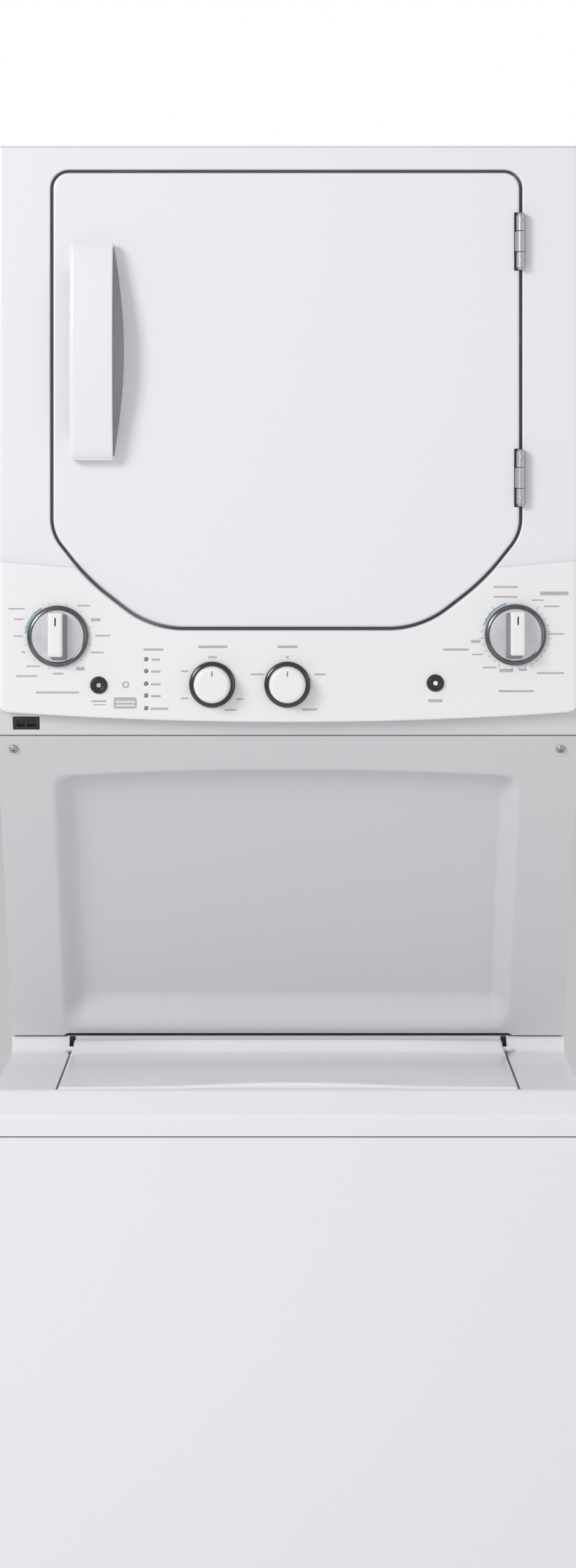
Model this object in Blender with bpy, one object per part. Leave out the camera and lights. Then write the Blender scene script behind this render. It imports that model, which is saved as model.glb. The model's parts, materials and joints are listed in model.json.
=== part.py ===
# Stacked laundry centre: a front-door tumble dryer over a top-load washer, in one 27 inch cabinet.
# Metres, +Z up, origin at the bottom centre of the whole object, front facing -Y.
import bpy
import bmesh
import math
from mathutils import Vector, Matrix

for o in list(bpy.data.objects):
    bpy.data.objects.remove(o, do_unlink=True)

# ------------------------------------------------------------------ driving dimensions
WIDTH = 0.680
HW = WIDTH / 2
HEIGHT = 1.927
Y_FRONT = -0.400          # washer front skin
Y_DRYER = -0.340          # dryer front skin
Y_REAR = 0.370            # rear skins
Y_COLLAR = 0.400          # end of the exhaust collar
SKIN = 0.002              # sheet thickness
EDGE_R = 0.008            # rolled vertical edges

DECK_SEAM_Z = 0.7825      # top cover meets the front panel
DECK_Z = 0.832            # deck surface in front of the riser
DECK_REAR_Z = 0.853
LID_HX = 0.2668           # lid half width
LID_AXIS = (0.0, -0.053, 0.838)

REC_TOP = (-0.324, 1.2365)     # recess panel, front surface, (y, z)
REC_BOT = (-0.040, 0.8560)
REC_DISH = 0.018

DOOR_CX = -0.002
DOOR_HW = 0.271
DOOR_TOP = 1.895
DOOR_BOT = 1.3665
DOOR_Y0, DOOR_Y1 = -0.342, -0.3195
HINGE_X, HINGE_Y = 0.271, -0.3465
HINGE_ZS = (1.815, 1.540)
HINGE_LEN = 0.066

FASCIA_Y = -0.352
KNOB_L = (-0.2672, 1.3562)
KNOB_R = (0.2640, 1.3578)
KNOB_T = (-0.0880, 1.3000)
KNOB_S = (-0.0008, 1.3000)
BTN_W = (-0.2196, 1.2992)
BTN_D = (0.1711, 1.3017)
LIGHT_X = -0.1646
LIGHT_ZS = (1.3294, 1.3156, 1.3009, 1.2871, 1.2724)

DRUM_Z = 1.614
DRUM_R = 0.298
MOTOR_X, MOTOR_Z = 0.100, 1.225
EXH_X, EXH_Z = -0.060, 1.186
PORT_Z = 1.620            # loading opening centre height
PORT_R = 0.210

TUB_Y = -0.075
TUB_R = 0.300

# ------------------------------------------------------------------ helpers
FIN = {
    "enamel": ((0.83, 0.825, 0.85), 0.28, 0.0),
    "grey_enamel": ((0.60, 0.595, 0.61), 0.35, 0.0),
    "plastic": ((0.85, 0.85, 0.86), 0.38, 0.0),
    "trim": ((0.53, 0.525, 0.54), 0.45, 0.0),
    "silver": ((0.62, 0.62, 0.63), 0.32, 0.9),
    "steel": ((0.56, 0.57, 0.58), 0.38, 1.0),
    "black": ((0.02, 0.02, 0.022), 0.45, 0.0),
    "rubber": ((0.03, 0.03, 0.03), 0.8, 0.0),
    "motor": ((0.16, 0.16, 0.17), 0.5, 0.6),
    "tub": ((0.70, 0.71, 0.72), 0.5, 0.0),
    "blue": ((0.32, 0.42, 0.55), 0.5, 0.0),
    "felt": ((0.35, 0.34, 0.33), 0.95, 0.0),
    "brass": ((0.70, 0.55, 0.28), 0.35, 1.0),
}


def finish(ob, key):
    rgb, rough, metal = FIN[key]
    m = bpy.data.materials.new(ob.name + "_" + key)
    m.use_nodes = True
    b = m.node_tree.nodes["Principled BSDF"]
    b.inputs["Base Color"].default_value = (rgb[0], rgb[1], rgb[2], 1.0)
    b.inputs["Roughness"].default_value = rough
    b.inputs["Metallic"].default_value = metal
    ob.data.materials.clear()
    ob.data.materials.append(m)


def emit(name, bm, key=None, smooth=None):
    bmesh.ops.remove_doubles(bm, verts=bm.verts, dist=1e-6)
    bmesh.ops.recalc_face_normals(bm, faces=bm.faces)
    me = bpy.data.meshes.new(name)
    bm.to_mesh(me)
    bm.free()
    ob = bpy.data.objects.new(name, me)
    bpy.context.scene.collection.objects.link(ob)
    if smooth:
        me.shade_smooth()
        me.set_sharp_from_angle(angle=math.radians(smooth))
    if key:
        finish(ob, key)
    return ob


def to3(p, axis, h):
    if axis == "X":
        return (h, p[0], p[1])
    if axis == "Y":
        return (p[0], h, p[1])
    return (p[0], p[1], h)


def prism(name, pts, axis, a, b, key=None):
    """Extrude an outline. X takes (y, z), Y takes (x, z), Z takes (x, y)."""
    bm = bmesh.new()
    lo = [bm.verts.new(to3(p, axis, a)) for p in pts]
    hi = [bm.verts.new(to3(p, axis, b)) for p in pts]
    n = len(pts)
    bm.faces.new(lo)
    bm.faces.new(hi)
    for i in range(n):
        j = (i + 1) % n
        bm.faces.new((lo[i], lo[j], hi[j], hi[i]))
    return emit(name, bm, key)


def box(name, x, y, z, key=None):
    return prism(name, [(x[0], y[0]), (x[1], y[0]), (x[1], y[1]), (x[0], y[1])], "Z", z[0], z[1], key)


def circle(cx, cy, r, n, start=0.0):
    return [(cx + r * math.cos(start + 2 * math.pi * i / n), cy + r * math.sin(start + 2 * math.pi * i / n))
            for i in range(n)]


def turn(name, prof, axis, at, seg, key=None, smooth=35):
    """Spin a closed (radius, height) outline about X, Y or Z through the point at."""
    bm = bmesh.new()
    rings = []
    for r, h in prof:
        if r < 1e-7:
            rings.append([bm.verts.new(frame_point(0, 0, h, axis, at))] * seg)
        else:
            ring = []
            for k in range(seg):
                t = 2 * math.pi * k / seg
                ring.append(bm.verts.new(frame_point(r * math.cos(t), r * math.sin(t), h, axis, at)))
            rings.append(ring)
    m = len(prof)
    for i in range(m):
        j = (i + 1) % m
        if prof[i][0] < 1e-7 and prof[j][0] < 1e-7:
            continue
        for k in range(seg):
            l = (k + 1) % seg
            vs = [rings[i][k], rings[i][l], rings[j][l], rings[j][k]]
            out = []
            for v in vs:
                if v not in out:
                    out.append(v)
            bm.faces.new(out)
    return emit(name, bm, key, smooth)


def frame_point(u, v, h, axis, at):
    if axis == "X":
        return (at[0] + h, at[1] + u, at[2] + v)
    if axis == "Y":
        return (at[0] + u, at[1] + h, at[2] + v)
    return (at[0] + u, at[1] + v, at[2] + h)


def rod(name, axis, at, r, a, b, seg, key=None):
    """A plain cylinder with flat n-sided ends."""
    bm = bmesh.new()
    ends = [[bm.verts.new(frame_point(r * math.cos(2 * math.pi * k / seg), r * math.sin(2 * math.pi * k / seg), h, axis, at))
             for k in range(seg)] for h in (a, b)]
    bm.faces.new(ends[0])
    bm.faces.new(ends[1])
    for k in range(seg):
        l = (k + 1) % seg
        bm.faces.new((ends[0][k], ends[0][l], ends[1][l], ends[1][k]))
    return emit(name, bm, key, 35)


def boole(ob, op, *tools):
    for t in tools:
        t.hide_render = True
        t.display_type = "WIRE"
        m = ob.modifiers.new(op.lower(), "BOOLEAN")
        m.operation = op
        m.solver = "EXACT"
        m.object = t
    return ob


def cut(ob, *tools):
    return boole(ob, "DIFFERENCE", *tools)


def fuse(ob, *tools):
    return boole(ob, "UNION", *tools)


def keep(ob, *tools):
    return boole(ob, "INTERSECT", *tools)


def origin(ob, p):
    p = Vector(p)
    ob.data.transform(Matrix.Translation(-p))
    ob.location = p
    return ob


def rounded(corners, seg=5):
    """Outline from (x, y, radius) corners, each rounded by its own radius."""
    out = []
    n = len(corners)
    for i in range(n):
        px, py, _ = corners[i - 1]
        cx, cy, r = corners[i]
        nx, ny, _ = corners[(i + 1) % n]
        if r < 1e-6:
            out.append((cx, cy))
            continue
        c = Vector((cx, cy))
        a = (Vector((px, py)) - c).normalized()
        b = (Vector((nx, ny)) - c).normalized()
        half = a.angle(b) / 2
        t = r / math.tan(half)
        centre = c + (a + b).normalized() * (r / math.sin(half))
        p0, p1 = c + a * t, c + b * t
        a0 = math.atan2(p0.y - centre.y, p0.x - centre.x)
        a1 = math.atan2(p1.y - centre.y, p1.x - centre.x)
        d = a1 - a0
        while d > math.pi:
            d -= 2 * math.pi
        while d < -math.pi:
            d += 2 * math.pi
        for k in range(seg + 1):
            t2 = a0 + d * k / seg
            out.append((centre.x + r * math.cos(t2), centre.y + r * math.sin(t2)))
    return out


def offset_corners(corners, off):
    """Move every side of a counter-clockwise outline out by off; radii follow."""
    n = len(corners)
    lines = []
    for i in range(n):
        p = Vector(corners[i][:2])
        q = Vector(corners[(i + 1) % n][:2])
        d = (q - p).normalized()
        nrm = Vector((d.y, -d.x))
        lines.append((p + nrm * off, d))
    out = []
    for i in range(n):
        p, d = lines[i - 1]
        q, e = lines[i]
        den = d.x * e.y - d.y * e.x
        s = ((q.x - p.x) * e.y - (q.y - p.y) * e.x) / den
        x = p + d * s
        r = corners[i][2]
        out.append((x.x, x.y, max(r + off, 0.0005) if r > 0 else 0.0))
    return out


DOOR = [
    (DOOR_CX - 0.1545, DOOR_BOT, 0.050),
    (DOOR_CX + 0.1545, DOOR_BOT, 0.050),
    (DOOR_CX + DOOR_HW, 1.4745, 0.050),
    (DOOR_CX + DOOR_HW, DOOR_TOP, 0.018),
    (DOOR_CX - DOOR_HW, DOOR_TOP, 0.018),
    (DOOR_CX - DOOR_HW, 1.4745, 0.050),
]


def door_outline(off, seg=4):
    return rounded(offset_corners(DOOR, off), seg)


def belt_outline(c1, r1, c2, r2, seg):
    """Outline of a belt round two wheels, counter-clockwise."""
    c1, c2 = Vector(c1), Vector(c2)
    d = c2 - c1
    base = math.atan2(d.y, d.x)
    a = math.acos((r1 - r2) / d.length)
    pts = []
    n1, n2 = seg, max(6, seg // 3)
    for k in range(n1 + 1):
        t = base + a + (2 * math.pi - 2 * a) * k / n1
        pts.append((c1.x + r1 * math.cos(t), c1.y + r1 * math.sin(t)))
    for k in range(n2 + 1):
        t = base - a + 2 * a * k / n2
        pts.append((c2.x + r2 * math.cos(t), c2.y + r2 * math.sin(t)))
    return pts


# ------------------------------------------------------------------ feet and base
for nm, fx, fy in (("leveling_foot_front_left", -0.290, -0.340), ("leveling_foot_front_right", 0.290, -0.340),
                   ("leveling_foot_rear_left", -0.290, 0.325), ("leveling_foot_rear_right", 0.290, 0.325)):
    turn(nm, [(0, 0), (0.020, 0), (0.022, 0.002), (0.022, 0.010), (0.011, 0.013), (0.011, 0.0195),
              (0.005, 0.0195), (0.005, 0.044), (0, 0.044)], "Z", (fx, fy, 0), 8, "rubber")

base = box("base_frame", (-0.3372, 0.3372), (-0.3828, 0.3675), (0.020, 0.050), "steel")
cut(base, box("c_base_open", (-0.250, 0.250), (-0.300, 0.285), (0.0, 0.1)))
for i, (x, y) in enumerate((((-0.3347, 0.3347), (-0.3803, -0.3025)), ((-0.3347, 0.3347), (0.2875, 0.365)),
                            ((-0.3347, -0.2525), (-0.31, 0.30)), ((0.2525, 0.3347), (-0.31, 0.30)))):
    cut(base, box("c_base_tray%d" % i, x, y, (0.023, 0.1)))
for i, (fx, fy) in enumerate(((-0.290, -0.340), (0.290, -0.340), (-0.290, 0.325), (0.290, 0.325))):
    cut(base, rod("c_base_hole%d" % i, "Z", (fx, fy, 0), 0.0060, 0.01, 0.06, 8))

# ------------------------------------------------------------------ washer cabinet
yf = -0.3855
cab = prism("washer_cabinet", [(-0.316, yf), (-HW, yf), (-HW, Y_REAR), (HW, Y_REAR), (HW, yf), (0.316, yf),
                               (0.316, yf + SKIN), (HW - SKIN, yf + SKIN), (HW - SKIN, Y_REAR - SKIN),
                               (-HW + SKIN, Y_REAR - SKIN), (-HW + SKIN, yf + SKIN), (-0.316, yf + SKIN)],
            "Z", 0.0205, 0.7820, "enamel")
RODS = []
for nm, sx, sy in (("front_left", -1, -1), ("front_right", 1, -1), ("rear_left", -1, 1), ("rear_right", 1, 1)):
    RODS.append((nm, sx * 0.2793, TUB_Y + sy * 0.2793, sx, sy))
for nm, rx, ry, sx, sy in RODS:
    x = (-0.339, -0.250) if sx < 0 else (0.250, 0.339)
    y = (-0.3845, -0.315) if sy < 0 else (0.165, 0.245)
    fuse(cab, box("c_brk_" + nm, x, y, (0.7680, 0.7710)))
    cut(cab, rod("c_brkh_" + nm, "Z", (rx, ry, 0), 0.005, 0.76, 0.78, 8))
cut(cab, rod("c_drain", "Y", (-0.250, 0, 0.620), 0.0155, 0.36, 0.38, 12),
    rod("c_hot", "Y", (0.215, 0, 0.680), 0.0145, 0.36, 0.38, 12),
    rod("c_cold", "Y", (0.265, 0, 0.680), 0.0145, 0.36, 0.38, 12))
for nm, rx, ry, sx, sy in RODS:
    turn("suspension_rod_" + nm, [(0, 0.262), (0.015, 0.262), (0.016, 0.266), (0.016, 0.2995), (0.0032, 0.2995),
                                 (0.0032, 0.7713), (0.009, 0.7713), (0.009, 0.776), (0.004, 0.781), (0, 0.781)],
         "Z", (rx, ry, 0), 8, "steel")

# front panel with rolled vertical edges and folded returns
outer = rounded([(-HW, -0.386, 0), (-HW, Y_FRONT, EDGE_R), (HW, Y_FRONT, EDGE_R), (HW, -0.386, 0)], 4)
inner = rounded([(HW - SKIN, -0.386, 0), (HW - SKIN, Y_FRONT + SKIN, EDGE_R - SKIN),
                 (-HW + SKIN, Y_FRONT + SKIN, EDGE_R - SKIN), (-HW + SKIN, -0.386, 0)], 4)
fp = prism("washer_front_panel", outer + inner, "Z", 0.0220, 0.7820, "enamel")
fuse(fp, box("c_fp_top", (-0.325, 0.325), (-0.3990, -0.3875), (0.7795, 0.7815)),
     box("c_fp_bot", (-0.325, 0.325), (-0.3990, -0.3875), (0.0225, 0.0245)))

# ------------------------------------------------------------------ washer top cover (deck)


def plan(off, zlo, zhi, name):
    return prism(name, rounded([(-HW + off, Y_FRONT + off, EDGE_R - off), (HW - off, Y_FRONT + off, EDGE_R - off),
                                (HW - off, Y_REAR - off, 0), (-HW + off, Y_REAR - off, 0)], 4), "Z", zlo, zhi)


deck_prof = [(-0.400, DECK_SEAM_Z), (0.370, DECK_SEAM_Z), (0.370, DECK_REAR_Z), (-0.034, DECK_REAR_Z),
             (-0.0385, 0.8515), (-0.0430, 0.8465), (-0.0480, 0.8395), (-0.0550, 0.8342), (-0.0650, DECK_Z),
             (-0.3700, DECK_Z), (-0.3770, 0.8303), (-0.3830, 0.8255), (-0.3960, 0.8105), (-0.3990, 0.8060),
             (-0.400, 0.8020)]
hollow_prof = [(-0.398, 0.770), (0.368, 0.770), (0.368, 0.8505), (-0.0325, 0.8505), (-0.0365, 0.8490),
               (-0.0455, 0.8360), (-0.0540, 0.8315), (-0.0650, 0.8295), (-0.3690, 0.8295), (-0.3757, 0.8278),
               (-0.3812, 0.8235), (-0.3940, 0.8090), (-0.3970, 0.8050), (-0.398, 0.8020)]
deck = prism("washer_top_cover", deck_prof, "X", -0.345, 0.345, "enamel")
keep(deck, plan(0.0, 0.70, 0.95, "c_deck_plan"))
hollow = prism("c_deck_hollow", hollow_prof, "X", -0.345, 0.345)
keep(hollow, plan(SKIN, 0.70, 0.95, "c_deck_plan_in"))
cut(deck, hollow)
fuse(deck, box("c_deck_tray", (-0.2722, 0.2722), (-0.3720, -0.0318), (0.8165, 0.8312)),
     box("c_deck_trayback", (-0.2722, 0.2722), (-0.0349, -0.0318), (0.8165, 0.8520)))
cut(deck, box("c_deck_pocket", (-0.2695, 0.2695), (-0.3692, -0.0345), (0.8190, 0.90)))
cut(deck, prism("c_deck_open", rounded([(-0.245, -0.350, 0.03), (0.245, -0.350, 0.03), (0.245, -0.080, 0.03),
                                       (-0.245, -0.080, 0.03)], 4), "Z", 0.80, 0.86))
for i, sx in enumerate((-1, 1)):
    a, b = (0.2660, 0.2760)
    cut(deck, turn("c_deck_pin%d" % i, [(0, sx * a), (0.0036, sx * a), (0.0036, sx * b), (0, sx * b)], "X",
                   (0, LID_AXIS[1], LID_AXIS[2]), 16))

# lid: pan with a raised rear edge and its own hinge pins
lid_prof = [(-0.3665, 0.8195), (-0.0600, 0.8195), (-0.0455, 0.8290), (-0.0445, 0.8488), (-0.0468, 0.8490),
            (-0.0510, 0.8425), (-0.0570, 0.8372), (-0.0660, 0.8345), (-0.3600, 0.8345), (-0.3645, 0.8325),
            (-0.3665, 0.8290)]
lid = prism("washer_lid", lid_prof, "X", -LID_HX, LID_HX, "enamel")
cut(lid, box("c_lid_pan", (-0.2645, 0.2645), (-0.3643, -0.0680), (0.80, 0.8323)))
for i, sx in enumerate((-1, 1)):
    fuse(lid, turn("c_lid_pin%d" % i, [(0, sx * 0.2600), (0.0035, sx * 0.2600), (0.0035, sx * 0.2745), (0, sx * 0.2745)],
                   "X", (0, LID_AXIS[1], LID_AXIS[2]), 16))
origin(lid, LID_AXIS)

# ------------------------------------------------------------------ tub, basket, drive
T = (0, TUB_Y, 0)
tub = turn("outer_tub", [(0.026, 0.200), (0.272, 0.200), (TUB_R, 0.226), (TUB_R, 0.7120), (0.2600, 0.7240), (0.2480, 0.7240),
                         (0.2480, 0.7215), (0.2595, 0.7215), (0.297, 0.7100), (0.297, 0.2275), (0.2705, 0.2035),
                         (0.026, 0.2035)], "Z", T, 30, "tub")
for nm, rx, ry, sx, sy in RODS:
    d = Vector((sx, sy)).normalized()
    e = Vector((-d.y, d.x))
    c = Vector((0, TUB_Y))
    q = [c + d * 0.2985 - e * 0.02, c + d * 0.410 - e * 0.02, c + d * 0.410 + e * 0.02, c + d * 0.2985 + e * 0.02]
    fuse(tub, prism("c_lug_" + nm, [(p.x, p.y) for p in q], "Z", 0.300, 0.306))
    cut(tub, rod("c_lugh_" + nm, "Z", (rx, ry, 0), 0.0045, 0.29, 0.32, 8))
basket = turn("wash_basket", [(0.0110, 0.150), (0.0160, 0.150), (0.0160, 0.2060), (0.060, 0.2120), (0.262, 0.2160),
                              (0.282, 0.236), (0.282, 0.694), (0.246, 0.694), (0.240, 0.688), (0.240, 0.664),
                              (0.2795, 0.658), (0.2795, 0.2375), (0.2605, 0.2185), (0.0110, 0.2185)],
              "Z", T, 30, "steel")
origin(basket, T)
agit = turn("agitator", [(0, 0.158), (0.0100, 0.158), (0.0100, 0.3300), (0.0420, 0.3300), (0.0765, 0.2520), (0.188, 0.2192),
                         (0.190, 0.2192), (0.190, 0.224), (0.080, 0.256), (0.046, 0.340), (0.040, 0.560), (0.050, 0.585),
                         (0.044, 0.612), (0.020, 0.622), (0, 0.622)],
            "Z", T, 16, "blue")
for i in range(4):
    t = math.radians(45 + 90 * i)
    d, e = Vector((math.cos(t), math.sin(t), 0)), Vector((-math.sin(t), math.cos(t), 0))
    bm = bmesh.new()
    pr = [(0.020, 0.222), (0.182, 0.222), (0.178, 0.262), (0.110, 0.300), (0.072, 0.400), (0.060, 0.520), (0.020, 0.540)]
    lo = [bm.verts.new(d * r - e * 0.005 + Vector((0, TUB_Y, z))) for r, z in pr]
    hi = [bm.verts.new(d * r + e * 0.005 + Vector((0, TUB_Y, z))) for r, z in pr]
    bm.faces.new(lo)
    bm.faces.new(hi)
    for k in range(len(pr)):
        l = (k + 1) % len(pr)
        bm.faces.new((lo[k], lo[l], hi[l], hi[k]))
    fuse(agit, emit("c_vane%d" % i, bm))
origin(agit, T)
turn("transmission", [(0.0168, 0.134), (0.070, 0.134), (0.074, 0.140), (0.074, 0.178), (0.060, 0.190), (0.0235, 0.190),
                      (0.0235, 0.204), (0.0168, 0.204)], "Z", T, 16, "motor")
origin(turn("drive_pulley", [(0, 0.098), (0.088, 0.098), (0.088, 0.101), (0.080, 0.1035), (0.080, 0.1125), (0.088, 0.115),
                             (0.088, 0.118), (0.018, 0.118), (0.018, 0.130), (0.0155, 0.130), (0.0155, 0.146), (0, 0.146)],
            "Z", T, 20, "motor"), T)
MP = (0.0, 0.105, 0)
turn("washer_motor", [(0.0068, 0.130), (0.050, 0.130), (0.055, 0.136), (0.055, 0.186), (0.050, 0.192), (0.0068, 0.192)],
     "Z", MP, 14, "motor")
origin(turn("washer_motor_pulley", [(0, 0.098), (0.026, 0.098), (0.026, 0.101), (0.020, 0.1035), (0.020, 0.1125),
                                    (0.026, 0.115), (0.026, 0.118), (0.0062, 0.118), (0.0062, 0.186), (0, 0.186)],
            "Z", MP, 14, "steel"), MP)
wb = prism("washer_belt", belt_outline((0, TUB_Y), 0.0865, (0, MP[1]), 0.0248, 20), "Z", 0.1045, 0.1115, "rubber")
cut(wb, prism("c_wb", belt_outline((0, TUB_Y), 0.0822, (0, MP[1]), 0.0212, 20), "Z", 0.09, 0.13))
pump = turn("drain_pump", [(0, 0.060), (0.042, 0.060), (0.046, 0.066), (0.046, 0.105), (0.030, 0.112), (0.030, 0.150),
                           (0, 0.150)], "Z", (-0.160, 0.150, 0), 14, "black")
# the discharge tube runs back and up inside the cabinet to the outlet in the rear wall
bm = bmesh.new()
path = [Vector((-0.180, 0.180, 0.085)), Vector((-0.240, 0.262, 0.085)), Vector((-0.250, 0.290, 0.110)),
        Vector((-0.250, 0.300, 0.150)), Vector((-0.250, 0.300, 0.580)), Vector((-0.250, 0.309, 0.611)),
        Vector((-0.250, 0.340, 0.620)), Vector((-0.250, 0.398, 0.620))]
rings = []
for i, p in enumerate(path):
    a = path[max(i - 1, 0)]
    b = path[min(i + 1, len(path) - 1)]
    d = (b - a).normalized()
    u = d.cross(Vector((1, 0, 0)) if abs(d.x) < 0.8 else Vector((0, 0, 1))).normalized()
    v = d.cross(u)
    rings.append([bm.verts.new(p + u * 0.0135 * math.cos(2 * math.pi * k / 8) + v * 0.0135 * math.sin(2 * math.pi * k / 8))
                  for k in range(8)])
for i in range(len(path) - 1):
    for k in range(8):
        l = (k + 1) % 8
        bm.faces.new((rings[i][k], rings[i][l], rings[i + 1][l], rings[i + 1][k]))
bm.faces.new(rings[0])
bm.faces.new(rings[-1])
fuse(pump, emit("c_discharge", bm))
cut(pump, rod("c_discharge_bore", "Y", (-0.250, 0, 0.620), 0.0105, 0.345, 0.41, 8))

valve = box("water_inlet_valve", (0.190, 0.290), (0.322, 0.3655), (0.655, 0.705), "plastic")
for i, x in enumerate((0.215, 0.265)):
    fuse(valve, rod("c_valve%d" % i, "Y", (x, 0, 0.680), 0.0132, 0.360, 0.392, 12))
    cut(valve, rod("c_valveb%d" % i, "Y", (x, 0, 0.680), 0.0095, 0.340, 0.41, 12))

# ------------------------------------------------------------------ upper cabinet shells
sy, sz = REC_BOT[0] - REC_TOP[0], REC_BOT[1] - REC_TOP[1]
slope_len = math.hypot(sy, sz)
SD = Vector((0, sy / slope_len, sz / slope_len))      # down the slope
SN = Vector((0, -SD.z, SD.y))                         # inward normal
if SN.y < 0:
    SN = -SN


def on_slope(t, depth=0.0, x=0.0):
    return Vector((x, REC_TOP[0], REC_TOP[1])) + SD * (slope_len * t) + SN * depth


a3, b3 = on_slope(0.0, 0.0034), on_slope(1.0, 0.0038)
side = [(-0.3255, 1.9247), (-0.3255, a3.z), (a3.y, a3.z), (b3.y, b3.z), (b3.y + 0.0015, 0.8536), (0.3675, 0.8536),
        (0.3675, 1.9247)]
prism("left_side_panel", side, "X", -HW, -HW + SKIN, "enamel")
prism("right_side_panel", side, "X", HW - SKIN, HW, "enamel")
rear = box("rear_panel", (-HW, HW), (Y_REAR - SKIN, Y_REAR), (0.8536, 1.9247), "grey_enamel")
cut(rear, rod("c_exh", "Y", (EXH_X, 0, EXH_Z), 0.0530, 0.36, 0.38, 24))
fuse(rear, box("c_term", (0.185, 0.285), (0.3690, 0.3880), (0.960, 1.060)))
cut(rear, box("c_term_in", (0.187, 0.283), (0.3600, 0.3860), (0.962, 1.058)),
    rod("c_term_hole", "Z", (0.235, 0.3775, 0), 0.0070, 0.95, 0.97, 12))

top = prism("top_panel", rounded([(-HW, Y_DRYER, EDGE_R), (HW, Y_DRYER, EDGE_R), (HW, Y_REAR, 0.003), (-HW, Y_REAR, 0.003)],
                                 4), "Z", 1.9250, HEIGHT, "enamel")
fuse(top, box("c_top_rim", (-0.3362, 0.3362), (-0.3335, 0.3662), (1.9130, 1.9260)))
cut(top, box("c_top_in", (-0.3342, 0.3342), (-0.3315, 0.3642), (1.90, 1.9250)))

# ------------------------------------------------------------------ dryer front
o2 = rounded([(-HW, -0.326, 0), (-HW, Y_DRYER, EDGE_R), (HW, Y_DRYER, EDGE_R), (HW, -0.326, 0)], 4)
i2 = rounded([(HW - SKIN, -0.326, 0), (HW - SKIN, Y_DRYER + SKIN, EDGE_R - SKIN),
              (-HW + SKIN, Y_DRYER + SKIN, EDGE_R - SKIN), (-HW + SKIN, -0.326, 0)], 4)
df = prism("dryer_front_panel", o2 + i2, "Z", 1.2720, 1.9247, "enamel")
fuse(df, prism("c_df_cup", door_outline(0.0060), "Y", -0.3392, -0.3145))
cut(df, prism("c_df_pocket", door_outline(0.0038), "Y", -0.360, -0.3170))
cut(df, rod("c_df_port", "Y", (DOOR_CX, 0, PORT_Z), PORT_R, -0.33, -0.25, 32))
fuse(df, turn("c_df_collar", [(PORT_R, -0.3160), (PORT_R + 0.0025, -0.3160), (PORT_R + 0.0025, -0.2700), (PORT_R, -0.2700)],
              "Y", (DOOR_CX, 0, PORT_Z), 32))
cut(df, box("c_df_slot", (-0.0925, 0.0925), (-0.3020, -0.2920), (1.38, 1.47)))
cut(df, box("c_df_strike", (-0.2585, -0.2385), (-0.330, -0.300), (1.603, 1.637)))
for i, (x, z) in enumerate((KNOB_L, KNOB_R, KNOB_T, KNOB_S, BTN_W, BTN_D)):
    cut(df, rod("c_df_shaft%d" % i, "Y", (x, 0, z), 0.0060, -0.35, -0.33, 8))
for i, hz in enumerate(HINGE_ZS):
    cut(df, rod("c_df_hinge%d" % i, "Z", (HINGE_X, HINGE_Y, hz), 0.0072, -HINGE_LEN / 2 - 0.001, HINGE_LEN / 2 + 0.001, 12))

# door skin, liner, handle
door = prism("dryer_door", door_outline(0.0), "Y", DOOR_Y0, DOOR_Y1, "enamel")
cut(door, prism("c_door_pan", door_outline(-0.0020), "Y", DOOR_Y0 + 0.002, -0.30))
for i, hz in enumerate(HINGE_ZS):
    cut(door, rod("c_door_hinge%d" % i, "Z", (HINGE_X, HINGE_Y, hz), 0.0072, -HINGE_LEN / 2 - 0.001,
                  HINGE_LEN / 2 + 0.001, 12))
    cut(door, box("c_door_leaf%d" % i, (HINGE_X - 0.008, HINGE_X + 0.005), (-0.350, -0.3225),
                  (hz - HINGE_LEN / 2 - 0.001, hz + HINGE_LEN / 2 + 0.001)))
origin(door, (HINGE_X, HINGE_Y, 1.62))

liner = prism("door_liner", door_outline(-0.0024), "Y", -0.3225, -0.3203, "plastic")
fuse(liner, turn("c_plug", [(0, -0.3215), (0.192, -0.3215), (0.190, -0.3110), (0.180, -0.3070), (0, -0.3070)],
                 "Y", (DOOR_CX, 0, PORT_Z), 32))
cut(liner, turn("c_plug_in", [(0, -0.3300), (0.188, -0.3300), (0.187, -0.3125), (0.179, -0.3095), (0, -0.3095)],
                "Y", (DOOR_CX, 0, PORT_Z), 32))
fuse(liner, box("c_strike", (-0.2520, -0.2450), (-0.3212, -0.2990), (1.613, 1.627)))
for i, hz in enumerate(HINGE_ZS):
    cut(liner, box("c_liner_leaf%d" % i, (HINGE_X - 0.016, HINGE_X + 0.005), (-0.350, -0.300),
                   (hz - HINGE_LEN / 2 - 0.001, hz + HINGE_LEN / 2 + 0.001)))
origin(liner, (HINGE_X, HINGE_Y, 1.62))
catch = box("door_catch", (-0.2640, -0.2330), (-0.3141, -0.2920), (1.597, 1.643), "plastic")
cut(catch, box("c_catch", (-0.2580, -0.2390), (-0.330, -0.2960), (1.606, 1.634)))

# bowed handle: a wide strip that stands off the door in the middle, with a hand gap behind it
HZ0, HZ1 = 1.5605, 1.8125
hx0, hx1 = -0.2530, -0.2030
n = 12
bm = bmesh.new()
secs = []
for i in range(n + 1):
    s = i / n
    z = HZ0 + (HZ1 - HZ0) * s
    bow = math.sin(math.pi * s) ** 0.6 if 0 < s < 1 else 0.0
    yf_ = -0.3580 - 0.0200 * bow
    yb_ = yf_ + 0.0075
    flank = 0.0125 * math.sin(math.pi * s)
    secs.append([bm.verts.new((hx0, yf_ + 0.003, z)), bm.verts.new((hx0 + 0.004, yf_, z)),
                 bm.verts.new((hx1, yf_, z)), bm.verts.new((hx1 + flank + 0.001, yb_ + 0.002, z)),
                 bm.verts.new((hx0, yb_, z))])
for i in range(n):
    for k in range(5):
        l = (k + 1) % 5
        bm.faces.new((secs[i][k], secs[i][l], secs[i + 1][l], secs[i + 1][k]))
bm.faces.new(secs[0])
bm.faces.new(secs[-1])
handle = emit("door_handle", bm, "enamel", 40)
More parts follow.
